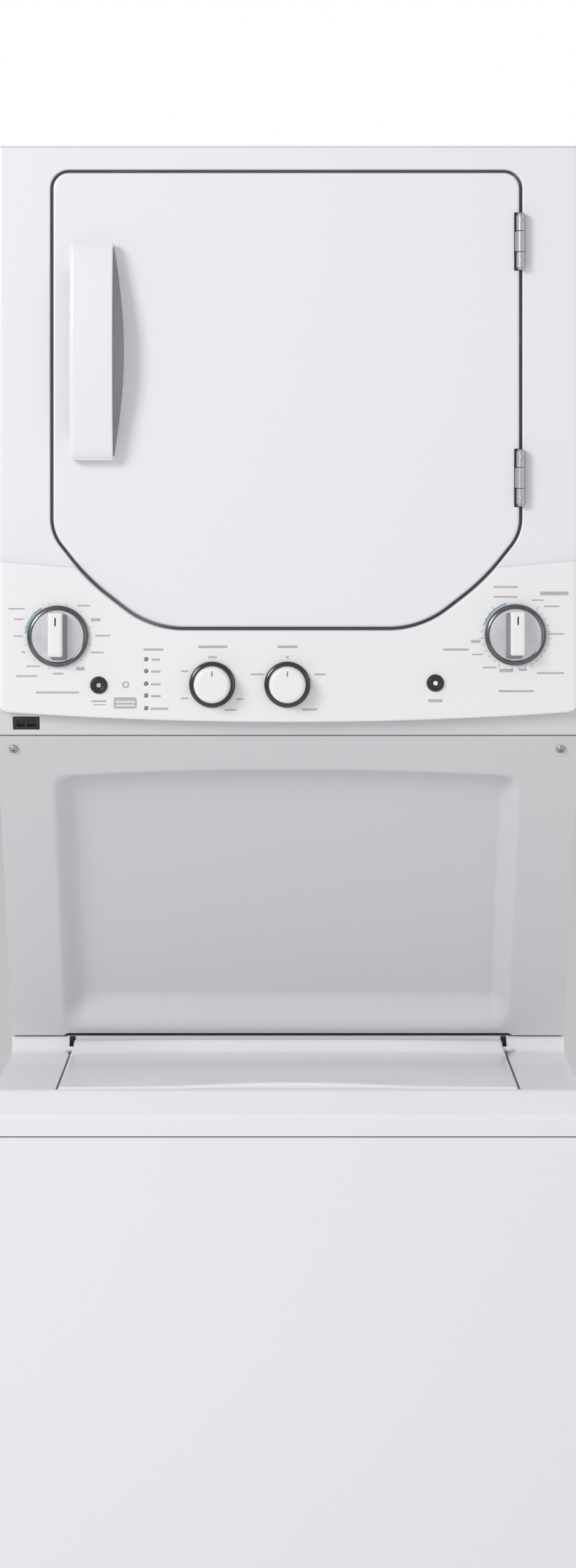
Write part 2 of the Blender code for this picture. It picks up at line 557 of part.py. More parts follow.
fuse(handle, box("c_hand_lo", (hx0 + 0.0005, hx1), (-0.3560, DOOR_Y0 - 0.0003), (HZ0, HZ0 + 0.030)),
     box("c_hand_hi", (hx0 + 0.0005, hx1), (-0.3560, DOOR_Y0 - 0.0003), (HZ1 - 0.030, HZ1)))
origin(handle, (HINGE_X, HINGE_Y, 1.62))

# hinges: two outer knuckles, a pin and a wall leaf on the frame; one middle knuckle and a leaf on the door
for nm, hz in (("upper", HINGE_ZS[0]), ("lower", HINGE_ZS[1])):
    L = HINGE_LEN / 2
    at = (HINGE_X, HINGE_Y, hz)
    f = turn(nm + "_hinge_frame_leaf", [(0, -L), (0.0055, -L), (0.0055, -0.0125), (0.0025, -0.0125), (0.0025, 0.0125),
                                        (0.0055, 0.0125), (0.0055, L), (0, L)], "Z", at, 12, "silver")
    fuse(f, box("c_fl0" + nm, (HINGE_X + 0.0006, HINGE_X + 0.0014), (HINGE_Y + 0.002, -0.3180), (hz - L + 0.0006, hz - 0.0131)),
         box("c_fl1" + nm, (HINGE_X + 0.0006, HINGE_X + 0.0014), (HINGE_Y + 0.002, -0.3180), (hz + 0.0131, hz + L - 0.0006)))
    g = turn(nm + "_hinge_door_leaf", [(0.00265, -0.0120), (0.0055, -0.0120), (0.0055, 0.0120), (0.00265, 0.0120)], "Z", at, 12,
             "silver")
    fuse(g, box("c_dl" + nm, (HINGE_X - 0.0072, HINGE_X - 0.0040), (HINGE_Y + 0.0010, -0.3228), (hz - 0.0114, hz + 0.0114)))
    origin(g, at)

# ------------------------------------------------------------------ console


def fascia_corners(off):
    pts = []
    n = 8
    for i in range(n + 1):
        x = -0.326 + 0.652 * i / n
        pts.append((x * (1 - off / 0.34), 1.2561 + 0.0114 * (x / 0.326) ** 2 + off))
    pts.append((0.3355 - off, 1.2705 + off * 0.6))
    pts.append((0.3385 - off, 1.2760 + off * 0.4))
    pts.append((0.3385 - off, 1.4440 - off))
    pts.append((0.2510, 1.4362 - off))
    pts.append((-0.2550, 1.4362 - off))
    pts.append((-0.3385 + off, 1.4430 - off))
    pts.append((-0.3385 + off, 1.2760 + off * 0.4))
    pts.append((-0.3355 + off, 1.2705 + off * 0.6))
    return pts


fas = prism("console_fascia", fascia_corners(0.0), "Y", FASCIA_Y, -0.3405, "plastic")
keep(fas, prism("c_fas_plan", rounded([(-0.3385, FASCIA_Y, 0.009), (0.3385, FASCIA_Y, 0.009), (0.3385, -0.330, 0),
                                       (-0.3385, -0.330, 0)], 4), "Z", 1.2, 1.5))
cut(fas, prism("c_fas_door", door_outline(0.0042), "Y", -0.40, -0.30))
fin = prism("c_fas_in", fascia_corners(0.0026), "Y", FASCIA_Y + 0.003, -0.330)
cut(fin, prism("c_fas_door_in", door_outline(0.0068), "Y", -0.40, -0.30))
keep(fin, prism("c_fas_plan_in", rounded([(-0.3360, FASCIA_Y + 0.0026, 0.0065), (0.3360, FASCIA_Y + 0.0026, 0.0065),
                                          (0.3360, -0.320, 0), (-0.3360, -0.320, 0)], 4), "Z", 1.2, 1.5))
cut(fas, fin)
for i, (x, z) in enumerate((KNOB_L, KNOB_R, KNOB_T, KNOB_S)):
    cut(fas, rod("c_fas_k%d" % i, "Y", (x, 0, z), 0.0060, -0.36, -0.34, 8))
for i, (x, z) in enumerate((BTN_W, BTN_D)):
    cut(fas, rod("c_fas_b%d" % i, "Y", (x, 0, z), 0.0099, -0.36, -0.345, 14))
for i, z in enumerate(LIGHT_ZS):
    cut(fas, rod("c_fas_l%d" % i, "Y", (LIGHT_X, 0, z), 0.0025, -0.36, -0.345, 6))

lights = box("cycle_status_lights", (LIGHT_X - 0.0045, LIGHT_X + 0.0045), (-0.3485, -0.3440), (1.2670, 1.3350), "plastic")
for i, z in enumerate(LIGHT_ZS):
    fuse(lights, rod("c_light%d" % i, "Y", (LIGHT_X, 0, z), 0.0019, -0.3523, -0.3470, 6))

trim = prism("console_lower_trim", [(-0.3398, 1.2712), (-0.3373, 1.2712), (-0.3250, 1.2424), (-0.3140, 1.2424),
                                    (-0.3140, 1.2400), (-0.3268, 1.2400)], "X", -0.3374, 0.3374, "trim")
cut(trim, box("c_plug_hole", (-0.3205, -0.2895), (-0.36, -0.318), (1.2465, 1.2618)))
prism("access_plug", [(-0.3363, 1.2613), (-0.3302, 1.2470), (-0.3245, 1.2470), (-0.3306, 1.2613)], "X", -0.3200, -0.2900,
      "black")

# dished recess panel
xs = [-0.3397, -0.278, -0.2695, -0.2605, -0.252, -0.10, 0.10, 0.248, 0.256, 0.264, 0.272, 0.3397]
ts = [0.0, 0.070, 0.112, 0.130, 0.150, 0.170, 0.50, 0.890, 0.920, 0.950, 0.980, 1.0]


def smooth(u):
    u = min(1.0, max(0.0, u))
    return u * u * (3 - 2 * u)


def dish(x, t):
    side_l = smooth((x + 0.278) / 0.026)
    side_r = smooth((0.272 - x) / 0.024)
    top_line = 0.100 + 0.020 * (x / 0.27) ** 2
    return REC_DISH * side_l * side_r * smooth((t - top_line) / 0.050) * smooth((0.980 - t) / 0.090)


bm = bmesh.new()
g = [[bm.verts.new(on_slope(t, dish(x, t), x)) for x in xs] for t in ts]
for i in range(len(ts) - 1):
    for k in range(len(xs) - 1):
        bm.faces.new((g[i][k], g[i][k + 1], g[i + 1][k + 1], g[i + 1][k]))
g2 = [[bm.verts.new(on_slope(t, dish(x, t) + 0.0025, x)) for x in xs] for t in ts]
for i in range(len(ts) - 1):
    for k in range(len(xs) - 1):
        bm.faces.new((g2[i][k], g2[i + 1][k], g2[i + 1][k + 1], g2[i][k + 1]))
ni, nk = len(ts) - 1, len(xs) - 1
for i in range(ni):
    bm.faces.new((g[i][0], g[i + 1][0], g2[i + 1][0], g2[i][0]))
    bm.faces.new((g[i][nk], g2[i][nk], g2[i + 1][nk], g[i + 1][nk]))
for k in range(nk):
    bm.faces.new((g[0][k], g2[0][k], g2[0][k + 1], g[0][k + 1]))
    bm.faces.new((g[ni][k], g[ni][k + 1], g2[ni][k + 1], g2[ni][k]))
rec = emit("recess_panel", bm, "grey_enamel", 30)
tilt = Vector((0, 0, 1)).rotation_difference(-SN).to_matrix().to_4x4()
for i, (nm, x) in enumerate((("left", -0.3207), ("right", 0.3190))):
    base_p = on_slope(0.035, 0.0, x)
    c = rod("c_rec_hole%d" % i, "Z", (0, 0, 0), 0.0026, -0.01, 0.01, 8)
    c.data.transform(Matrix.Translation(base_p) @ tilt)
    cut(rec, c)
    s = turn("recess_screw_" + nm, [(0, -0.0085), (0.0019, -0.0085), (0.0019, 0.0003), (0.0055, 0.0003), (0.0055, 0.0016),
                                    (0.0030, 0.0032), (0, 0.0034)], "Z", (0, 0, 0), 8, "silver")
    s.data.transform(Matrix.Translation(base_p) @ tilt)

# ------------------------------------------------------------------ knobs, buttons, timers


def big_knob(name, at):
    x, z = at
    k = turn(name, [(0, -0.3525), (0.0357, -0.3525), (0.0357, -0.3560), (0.0330, -0.3590), (0.0300, -0.3600), (0, -0.3600)],
             "Y", (x, 0, z), 24, "plastic")
    fuse(k, prism("c_grip_" + name, rounded([(x - 0.0115, z - 0.0275, 0.003), (x + 0.0115, z - 0.0275, 0.003),
                                            (x + 0.0115, z + 0.0285, 0.003), (x - 0.0115, z + 0.0285, 0.003)], 2),
                  "Y", -0.3770, -0.3590),
         rod("c_shaft_" + name, "Y", (x, 0, z), 0.0030, -0.3530, -0.3270, 8))
    return origin(k, (x, -0.3525, z))


def small_knob(name, at):
    x, z = at
    k = turn(name, [(0, -0.3525), (0.0268, -0.3525), (0.0268, -0.3555), (0.0222, -0.3580), (0.0206, -0.3740),
                    (0.0190, -0.3755), (0, -0.3755)], "Y", (x, 0, z), 20, "plastic")
    fuse(k, rod("c_shaft_" + name, "Y", (x, 0, z), 0.0030, -0.3530, -0.3270, 8))
    return origin(k, (x, -0.3525, z))


big_knob("washer_cycle_knob", KNOB_L)
big_knob("dryer_cycle_knob", KNOB_R)
small_knob("temperature_knob", KNOB_T)
small_knob("load_size_knob", KNOB_S)
for nm, (x, z) in (("washer_start_button", BTN_W), ("dryer_start_button", BTN_D)):
    b = turn(nm, [(0, -0.3560), (0.0078, -0.3560), (0.0092, -0.3545), (0.0092, -0.3465), (0.0030, -0.3465), (0.0030, -0.3330),
                  (0, -0.3330)], "Y", (x, 0, z), 14, "black")
    origin(b, (x, -0.3560, z))
for nm, (x, z) in (("washer_timer", KNOB_L), ("dryer_timer", KNOB_R)):
    t = box(nm, (x - 0.030, x + 0.030), (-0.3376, -0.3000), (z - 0.030, z + 0.030), "motor")
    cut(t, rod("c_tb_" + nm, "Y", (x, 0, z), 0.0040, -0.35, -0.3200, 8))

# ------------------------------------------------------------------ dryer mechanism
DC = (0, 0, DRUM_Z)
drum = turn("dryer_drum", [(0, 0.2880), (0.290, 0.2880), (DRUM_R, 0.280), (DRUM_R, -0.2620), (0.288, -0.2720),
                           (0.2250, -0.2720), (0.2250, -0.2695), (0.287, -0.2695), (0.2955, -0.2610), (0.2955, 0.279),
                           (0.289, 0.2855), (0, 0.2855)], "Y", DC, 30, "steel")
HOLLOWS = []
for i in range(3):
    t = math.radians(90 + 120 * i)
    d, e = Vector((math.cos(t), math.sin(t))), Vector((-math.sin(t), math.cos(t)))
    c = Vector((0, DRUM_Z))
    q = [c + d * 0.2962 - e * 0.034, c + d * 0.232 - e * 0.008, c + d * 0.232 + e * 0.008, c + d * 0.2962 + e * 0.034]
    q = [c + d * 0.2945 - e * 0.034, c + d * 0.2962 - e * 0.020, c + d * 0.2962 + e * 0.020, c + d * 0.2945 + e * 0.034,
         c + d * 0.232 + e * 0.008, c + d * 0.232 - e * 0.008]
    fuse(drum, prism("c_baffle%d" % i, [(p.x, p.y) for p in q], "Y", -0.245, 0.2865))
    q = [c + d * 0.310 - e * 0.0265, c + d * 0.310 + e * 0.0265, c + d * 0.290 + e * 0.0265, c + d * 0.236 + e * 0.0055,
         c + d * 0.236 - e * 0.0055, c + d * 0.290 - e * 0.0265]
    HOLLOWS.append(prism("c_baffle_in%d" % i, [(p.x, p.y) for p in q], "Y", -0.240, 0.2750))
fuse(drum, turn("c_drum_hub", [(0, 0.2870), (0.045, 0.2870), (0.045, 0.2920), (0.0125, 0.2940), (0.0125, 0.3600), (0, 0.3600)],
                "Y", DC, 14))
cut(drum, *HOLLOWS)
origin(drum, DC)
turn("drum_bearing", [(0.0129, 0.3450), (0.030, 0.3450), (0.050, 0.3650), (0.050, 0.3676), (0.0129, 0.3676)], "Y", DC, 14,
     "motor")
turn("heater_pan", [(0.062, 0.2980), (0.064, 0.2980), (0.064, 0.3655), (0.258, 0.3655), (0.258, 0.2980), (0.260, 0.2980),
                    (0.260, 0.3676), (0.062, 0.3676)], "Y", DC, 24, "steel")
db = prism("drum_belt", belt_outline((0, DRUM_Z), 0.3016, (MOTOR_X, MOTOR_Z), 0.0152, 30), "Y", 0.2000, 0.2080, "rubber")
cut(db, prism("c_db", belt_outline((0, DRUM_Z), 0.2998, (MOTOR_X, MOTOR_Z), 0.0130, 30), "Y", 0.19, 0.22))
mot = turn("dryer_motor", [(0.0068, 0.050), (0.058, 0.050), (0.062, 0.056), (0.062, 0.176), (0.058, 0.182), (0.0068, 0.182)],
           "Y", (MOTOR_X, 0, MOTOR_Z), 14, "motor")
fuse(mot, box("c_motor_cradle", (MOTOR_X - 0.040, MOTOR_X + 0.040), (0.070, 0.160), (1.1024, 1.1800)))
wheel = turn("blower_wheel", [(0, -0.0460), (0.0100, -0.0460), (0.0100, 0.0100), (0.0060, 0.0100), (0.0060, 0.1940),
                              (0.0155, 0.1940), (0.0155, 0.1970), (0.0122, 0.1985), (0.0122, 0.2095), (0.0155, 0.2110),
                              (0.0155, 0.2140), (0, 0.2140)], "Y", (MOTOR_X, 0, MOTOR_Z), 12, "motor")
star = []
for i in range(10):
    for r, o in ((0.0740, -0.30), (0.0740, -0.08), (0.0580, 0.0), (0.0580, 0.35)):
        t = 2 * math.pi * (i + o) / 10
        star.append((MOTOR_X + r * math.cos(t), MOTOR_Z + r * math.sin(t)))
ws = prism("c_blades", star, "Y", -0.0460, 0.0090)
cut(ws, rod("c_blade_eye", "Y", (MOTOR_X, 0, MOTOR_Z), 0.0500, -0.06, 0.0050, 16))
fuse(wheel, ws)
origin(wheel, (MOTOR_X, 0, MOTOR_Z))


def volute(r, e):
    pts = []
    for k in range(11):
        t = math.radians(-90 + 210 * k / 10)
        pts.append((MOTOR_X + r * math.cos(t), MOTOR_Z + r * math.sin(t)))
    pts += [(-0.015 + e * 0.5, 1.240 - e), (-0.115 + e, 1.240 - e), (-0.115 + e, MOTOR_Z - r)]
    return pts


bh = prism("blower_housing", volute(0.0880, 0.0), "Y", -0.0620, 0.0220, "steel")
# intake duct: down from the filter slot at the door opening, then back to the fan eye
fuse(bh, box("c_duct_b", (0.030, 0.170), (-0.2850, -0.0610), (1.2220, 1.3000)),
     box("c_duct_a", (-0.1000, 0.1000), (-0.3115, -0.2835), (1.2440, 1.4000)))
cut(bh, prism("c_volute_in", volute(0.0855, 0.0025), "Y", -0.0600, 0.0200),
    box("c_duct_a_in", (-0.0980, 0.0980), (-0.3095, -0.2855), (1.2460, 1.42)),
    box("c_duct_b_in", (0.0320, 0.1680), (-0.2900, -0.0630), (1.2460, 1.2980)),
    rod("c_eye", "Y", (MOTOR_X, 0, MOTOR_Z + 0.022), 0.0440, -0.0640, -0.0500, 16),
    rod("c_shaft_hole", "Y", (MOTOR_X, 0, MOTOR_Z), 0.0090, 0.01, 0.03, 10),
    rod("c_outlet", "Y", (EXH_X, 0, EXH_Z), 0.0440, 0.01, 0.03, 16))
fuse(bh, turn("c_exhaust", [(0.0488, 0.0190), (0.0508, 0.0190), (0.0508, Y_COLLAR), (0.0488, Y_COLLAR)], "Y",
              (EXH_X, 0, EXH_Z), 20))
filt = box("lint_filter", (-0.0880, 0.0880), (-0.3005, -0.2935), (1.2560, 1.4020), "plastic")
cut(filt, box("c_filt_win", (-0.0780, 0.0780), (-0.2990, -0.2900), (1.2660, 1.3900)))
fuse(filt, box("c_filt_grip", (-0.0600, 0.0600), (-0.3005, -0.2935), (1.4000, 1.4200)))
origin(filt, (0, -0.297, 1.256))
box("dryer_base_shelf", (-0.3374, 0.3374), (-0.1850, 0.3674), (1.1000, 1.1020), "steel")
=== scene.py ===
import bpy
import bmesh
import json
import math
from mathutils import Vector, Matrix
from mathutils.geometry import tessellate_polygon


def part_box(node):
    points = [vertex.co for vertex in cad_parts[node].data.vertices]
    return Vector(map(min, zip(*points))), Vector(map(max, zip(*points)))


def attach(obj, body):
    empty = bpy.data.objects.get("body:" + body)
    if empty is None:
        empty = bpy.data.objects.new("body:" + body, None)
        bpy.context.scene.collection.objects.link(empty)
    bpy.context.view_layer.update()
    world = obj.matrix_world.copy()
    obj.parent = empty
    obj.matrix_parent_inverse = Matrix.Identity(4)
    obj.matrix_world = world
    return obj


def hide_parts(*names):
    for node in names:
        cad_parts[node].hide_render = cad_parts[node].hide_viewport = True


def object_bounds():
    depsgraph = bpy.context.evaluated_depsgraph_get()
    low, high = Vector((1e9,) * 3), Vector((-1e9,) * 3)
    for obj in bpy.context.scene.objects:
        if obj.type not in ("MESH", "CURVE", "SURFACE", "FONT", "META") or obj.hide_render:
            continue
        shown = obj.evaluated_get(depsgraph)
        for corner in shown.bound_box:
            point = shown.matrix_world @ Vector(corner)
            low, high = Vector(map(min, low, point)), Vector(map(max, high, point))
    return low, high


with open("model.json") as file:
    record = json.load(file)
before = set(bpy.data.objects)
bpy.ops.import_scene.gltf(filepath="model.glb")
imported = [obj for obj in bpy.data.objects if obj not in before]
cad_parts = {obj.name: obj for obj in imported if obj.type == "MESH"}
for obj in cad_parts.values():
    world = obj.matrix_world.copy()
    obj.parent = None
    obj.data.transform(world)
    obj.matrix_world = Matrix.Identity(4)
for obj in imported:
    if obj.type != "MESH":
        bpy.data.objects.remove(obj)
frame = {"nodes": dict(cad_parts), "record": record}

CAD_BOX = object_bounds()
JOINT = {j["name"]: j for j in frame["record"]["behaviour"]["joints"]}
LO, HI = CAD_BOX
HW = HI.x


# ------------------------------------------------------------------ materials
def material(name, a, b, rough, metal=0.0, patch=3.0, low=0.15, high=0.85, rough_span=0.06, grain=260.0, strength=0.06,
             depth=0.0002, stretch=(1, 1, 1), coat=0.0, coat_rough=0.08, specular=0.5, second=None, detail=4):
    """A procedural finish: patchy colour between a and b, uneven gloss and a fine grain."""
    m = bpy.data.materials.new(name)
    m.use_nodes = True
    nt = m.node_tree
    p = nt.nodes["Principled BSDF"]
    p.inputs["Metallic"].default_value = metal
    p.inputs["Coat Weight"].default_value = coat
    p.inputs["Coat Roughness"].default_value = coat_rough
    p.inputs["Specular IOR Level"].default_value = specular
    tc = nt.nodes.new("ShaderNodeTexCoord")
    mp = nt.nodes.new("ShaderNodeMapping")
    mp.inputs["Scale"].default_value = stretch
    nt.links.new(tc.outputs["Object"], mp.inputs["Vector"])

    def tex(scale, detail, vector):
        n = nt.nodes.new("ShaderNodeTexNoise")
        n.inputs["Scale"].default_value = scale
        n.inputs["Detail"].default_value = detail
        nt.links.new(vector, n.inputs["Vector"])
        return n.outputs["Fac"]

    def span(value, lo, hi, to_lo, to_hi):
        r = nt.nodes.new("ShaderNodeMapRange")
        for k, v in (("From Min", lo), ("From Max", hi), ("To Min", to_lo), ("To Max", to_hi)):
            r.inputs[k].default_value = v
        nt.links.new(value, r.inputs["Value"])
        return r.outputs["Result"]

    mix = nt.nodes.new("ShaderNodeMix")
    mix.data_type = "RGBA"
    mix.inputs[6].default_value = (*a, 1)
    mix.inputs[7].default_value = (*b, 1)
    nt.links.new(span(tex(patch, detail, tc.outputs["Object"]), low, high, 0, 1), mix.inputs[0])
    colour = mix.outputs[2]
    if second:
        rgb, scale, lo2, hi2 = second
        mix2 = nt.nodes.new("ShaderNodeMix")
        mix2.data_type = "RGBA"
        mix2.inputs[7].default_value = (*rgb, 1)
        nt.links.new(span(tex(scale, 5, mp.outputs["Vector"]), lo2, hi2, 0, 1), mix2.inputs[0])
        nt.links.new(colour, mix2.inputs[6])
        colour = mix2.outputs[2]
    nt.links.new(colour, p.inputs["Base Color"])
    nt.links.new(span(tex(patch * 2.6, detail, mp.outputs["Vector"]), 0.0, 1.0, max(0.02, rough - rough_span), rough + rough_span),
                 p.inputs["Roughness"])
    bump = nt.nodes.new("ShaderNodeBump")
    bump.inputs["Strength"].default_value = strength
    bump.inputs["Distance"].default_value = depth
    nt.links.new(tex(grain, 3, mp.outputs["Vector"]), bump.inputs["Height"])
    nt.links.new(bump.outputs["Normal"], p.inputs["Normal"])
    return m


M = {
    "enamel": material("white_enamel", (0.835, 0.825, 0.860), (0.820, 0.812, 0.848), 0.30, patch=1.6, grain=420, strength=0.05,
                       depth=0.00015, coat=0.25, coat_rough=0.12, detail=0),
    "enamel_in": material("white_enamel_inside", (0.80, 0.79, 0.81), (0.76, 0.755, 0.775), 0.38, patch=4, grain=420,
                          strength=0.05),
    # painted shade: the recess panel is the same white enamel as the cabinet; this darker grey stands in for the shade
    # under the dryer's overhang
    "grey_enamel": material("shaded_enamel", (0.685, 0.68, 0.695), (0.665, 0.66, 0.677), 0.36, patch=1.8, grain=420,
                            strength=0.05, depth=0.00015, coat=0.15, coat_rough=0.15, detail=0),
    "console": material("console_moulding", (0.850, 0.845, 0.862), (0.835, 0.832, 0.850), 0.34, patch=5, grain=700,
                        strength=0.10, depth=0.0001),
    # painted shade: the band under the fascia faces down in its shadow; this grey stands in for that shade
    "trim": material("grey_moulding", (0.70, 0.69, 0.705), (0.67, 0.66, 0.675), 0.42, patch=7, grain=700, strength=0.16,
                     depth=0.0001),
    "knob_white": material("knob_white", (0.86, 0.855, 0.865), (0.84, 0.838, 0.85), 0.26, patch=30, grain=900, strength=0.05,
                           depth=0.0001, coat=0.3),
    "knob_metal": material("spun_metal_face", (0.80, 0.815, 0.83), (0.62, 0.635, 0.65), 0.30, metal=0.45, patch=60, grain=900,
                           strength=0.10, depth=0.0001, stretch=(3, 1, 0.15)),
    # painted reflection: the plated ring's base is darkened, in dark and less dark patches, to stand in for the dark
    # surroundings it reflects
    "chrome": material("plated_ring", (0.20, 0.205, 0.21), (0.09, 0.093, 0.098), 0.22, metal=0.9, patch=45, grain=900,
                       strength=0.04, depth=0.0001),
    "black_chrome": material("dark_plated_ring", (0.075, 0.077, 0.080), (0.03, 0.03, 0.033), 0.18, metal=0.7, patch=45,
                             grain=900, strength=0.04, depth=0.0001, coat=0.4),
    "silver": material("satin_hinge_metal", (0.50, 0.50, 0.52), (0.42, 0.42, 0.44), 0.36, metal=0.65, patch=30, grain=500,
                       strength=0.14, depth=0.0001, stretch=(1, 1, 0.2)),
    "screw": material("zinc_screw", (0.50, 0.49, 0.49), (0.38, 0.375, 0.38), 0.34, metal=0.9, patch=120, grain=900,
                      strength=0.16, depth=0.0001),
    "steel": material("brushed_steel", (0.60, 0.605, 0.615), (0.52, 0.525, 0.535), 0.30, metal=0.95, patch=4, grain=90,
                      strength=0.10, depth=0.0002, stretch=(1, 1, 14)),
    "galvanised": material("galvanised_sheet", (0.56, 0.57, 0.58), (0.44, 0.45, 0.465), 0.42, metal=0.85, patch=42, low=0.42,
                           high=0.58, grain=180, strength=0.10, second=((0.63, 0.64, 0.65), 95, 0.55, 0.62)),
    "rear_sheet": material("rear_sheet", (0.60, 0.605, 0.615), (0.52, 0.525, 0.535), 0.46, metal=0.55, patch=14, grain=240,
                           strength=0.08, second=((0.64, 0.645, 0.655), 60, 0.56, 0.66)),
    # painted shade: dark grey for flanks that stand in shadow, the handle's right flank and the dial grips' inner sides
    "shade": material("shaded_flank", (0.27, 0.268, 0.28), (0.22, 0.218, 0.23), 0.5, patch=60, grain=700, strength=0.1,
                      depth=0.0001),
    "black": material("black_moulding", (0.012, 0.012, 0.013), (0.020, 0.020, 0.022), 0.34, patch=80, grain=800, strength=0.14,
                      depth=0.0001),
    # painted shade: near-black sheets set in hollows that lie in shade
    "void": material("unlit_hollow", (0.010, 0.010, 0.011), (0.016, 0.016, 0.017), 0.75, patch=60, grain=400, strength=0.1),
    "rubber": material("black_rubber", (0.030, 0.030, 0.030), (0.048, 0.047, 0.046), 0.72, patch=60, grain=600, strength=0.3,
                       depth=0.0003),
    "tub": material("tub_moulding", (0.70, 0.705, 0.71), (0.66, 0.668, 0.678), 0.44, patch=8, grain=320, strength=0.12),
    "agitator": material("agitator_moulding", (0.76, 0.78, 0.82), (0.72, 0.745, 0.79), 0.33, patch=9, grain=500, strength=0.09,
                         coat=0.15),
    "liner": material("liner_moulding", (0.80, 0.80, 0.81), (0.775, 0.775, 0.79), 0.36, patch=6, grain=600, strength=0.1),
    "motor": material("motor_casting", (0.17, 0.17, 0.18), (0.12, 0.12, 0.13), 0.48, metal=0.5, patch=30, grain=260,
                      strength=0.3, depth=0.0004),
    "felt": material("felt_seal", (0.38, 0.37, 0.36), (0.30, 0.29, 0.285), 0.92, patch=140, grain=900, strength=0.7,
                     depth=0.0006, specular=0.1),
    "ink": material("printed_ink", (0.43, 0.425, 0.44), (0.50, 0.495, 0.51), 0.5, patch=260, grain=1500, strength=0.1,
                    depth=0.00005),
    "ink_dark": material("printed_ink_dark", (0.20, 0.20, 0.21), (0.27, 0.27, 0.28), 0.5, patch=260, grain=1500, strength=0.1,
                         depth=0.00005),
    "ink_teal": material("printed_ink_teal", (0.22, 0.46, 0.52), (0.30, 0.54, 0.60), 0.5, patch=200, grain=1500, strength=0.1,
                         depth=0.00005),
    "ink_blue": material("printed_ink_blue", (0.22, 0.38, 0.58), (0.32, 0.47, 0.64), 0.5, patch=200, grain=1500, strength=0.1,
                         depth=0.00005),
    "lens": material("lamp_lens", (0.22, 0.22, 0.235), (0.30, 0.30, 0.315), 0.2, patch=200, grain=900, strength=0.05,
                     depth=0.0001, coat=0.5),
    "brass": material("brass_thread", (0.68, 0.53, 0.27), (0.58, 0.44, 0.22), 0.34, metal=1.0, patch=60, grain=500,
                      strength=0.12),
    "floor": material("studio_floor", (0.905, 0.905, 0.91), (0.885, 0.885, 0.89), 0.55, patch=0.7, grain=60, strength=0.03),
}


# ------------------------------------------------------------------ mesh helpers
def new_object(name, bm, merge=1e-6):
    if merge:
        bmesh.ops.remove_doubles(bm, verts=bm.verts, dist=merge)
    bmesh.ops.recalc_face_normals(bm, faces=bm.faces)
    me = bpy.data.meshes.new(name)
    bm.to_mesh(me)
    bm.free()
    ob = bpy.data.objects.new(name, me)
    bpy.context.scene.collection.objects.link(ob)
    return ob


def to3(p, axis, h):
    return {"X": (h, p[0], p[1]), "Y": (p[0], h, p[1]), "Z": (p[0], p[1], h)}[axis]


def frame_point(u, v, h, axis, at):
    if axis == "X":
        return (at[0] + h, at[1] + u, at[2] + v)
    if axis == "Y":
        return (at[0] + u, at[1] + h, at[2] + v)
    return (at[0] + u, at[1] + v, at[2] + h)


def prism(name, pts, axis, a, b):
    bm = bmesh.new()
    lo = [bm.verts.new(to3(p, axis, a)) for p in pts]
    hi = [bm.verts.new(to3(p, axis, b)) for p in pts]
    bm.faces.new(lo)
    bm.faces.new(hi)
    for i in range(len(pts)):
        j = (i + 1) % len(pts)
        bm.faces.new((lo[i], lo[j], hi[j], hi[i]))
    return new_object(name, bm)


def block(name, x, y, z):
    return prism(name, [(x[0], y[0]), (x[1], y[0]), (x[1], y[1]), (x[0], y[1])], "Z", z[0], z[1])


def turned(name, prof, axis, at, seg, closed=True):
    bm = bmesh.new()
    rings = []
    for r, h in prof:
        if r < 1e-7:
            rings.append([bm.verts.new(frame_point(0, 0, h, axis, at))] * seg)
        else:
            rings.append([bm.verts.new(frame_point(r * math.cos(2 * math.pi * k / seg), r * math.sin(2 * math.pi * k / seg), h,
                                                   axis, at)) for k in range(seg)])
    m = len(prof)
    for i in range(m if closed else m - 1):
        j = (i + 1) % m
        if prof[i][0] < 1e-7 and prof[j][0] < 1e-7:
            continue
        for k in range(seg):
            n = (k + 1) % seg
            vs = []
            for v in (rings[i][k], rings[i][n], rings[j][n], rings[j][k]):
                if v not in vs:
                    vs.append(v)
            bm.faces.new(vs)
    return new_object(name, bm)


def loft(name, loops, cap0=True, cap1=True, ring=True):
    """Join loops that hold the same number of points."""
    bm = bmesh.new()
    vs = [[bm.verts.new(p) for p in lp] for lp in loops]
    n = len(loops[0])
    for i in range(len(loops) - 1):
        for k in range(n if ring else n - 1):
            j = (k + 1) % n
            bm.faces.new((vs[i][k], vs[i][j], vs[i + 1][j], vs[i + 1][k]))
    if cap0:
        bm.faces.new(vs[0])
    if cap1:
        bm.faces.new(vs[-1])
    return new_object(name, bm)


def patch(bm, outer, holes, lift):
    """A flat face with holes, from 2D outlines."""
    flat = [Vector((*p, 0)) for lp in [outer, *holes] for p in lp]
    vs = [bm.verts.new(lift(p.x, p.y)) for p in flat]
    for a, b, c in tessellate_polygon([[Vector((*p, 0)) for p in lp] for lp in [outer, *holes]]):
        try:
            bm.faces.new((vs[a], vs[b], vs[c]))
        except ValueError:
            pass


def rounded(corners, seg=8):
    out = []
    n = len(corners)
    for i in range(n):
        px, py, _ = corners[i - 1]
        cx, cy, r = corners[i]
        nx, ny, _ = corners[(i + 1) % n]
        if r < 1e-6:
            out.append((cx, cy))
            continue
        c = Vector((cx, cy))
        a = (Vector((px, py)) - c).normalized()
        b = (Vector((nx, ny)) - c).normalized()
        half = a.angle(b) / 2
        t = r / math.tan(half)
        centre = c + (a + b).normalized() * (r / math.sin(half))
        p0, p1 = c + a * t, c + b * t
        a0 = math.atan2(p0.y - centre.y, p0.x - centre.x)
        d = math.atan2(p1.y - centre.y, p1.x - centre.x) - a0
        while d > math.pi:
            d -= 2 * math.pi
        while d < -math.pi:
            d += 2 * math.pi
        for k in range(seg + 1):
            out.append((centre.x + r * math.cos(a0 + d * k / seg), centre.y + r * math.sin(a0 + d * k / seg)))
    return out


def rect(x0, x1, z0, z1, r, seg=6):
    return rounded([(x0, z0, r), (x1, z0, r), (x1, z1, r), (x0, z1, r)], seg)


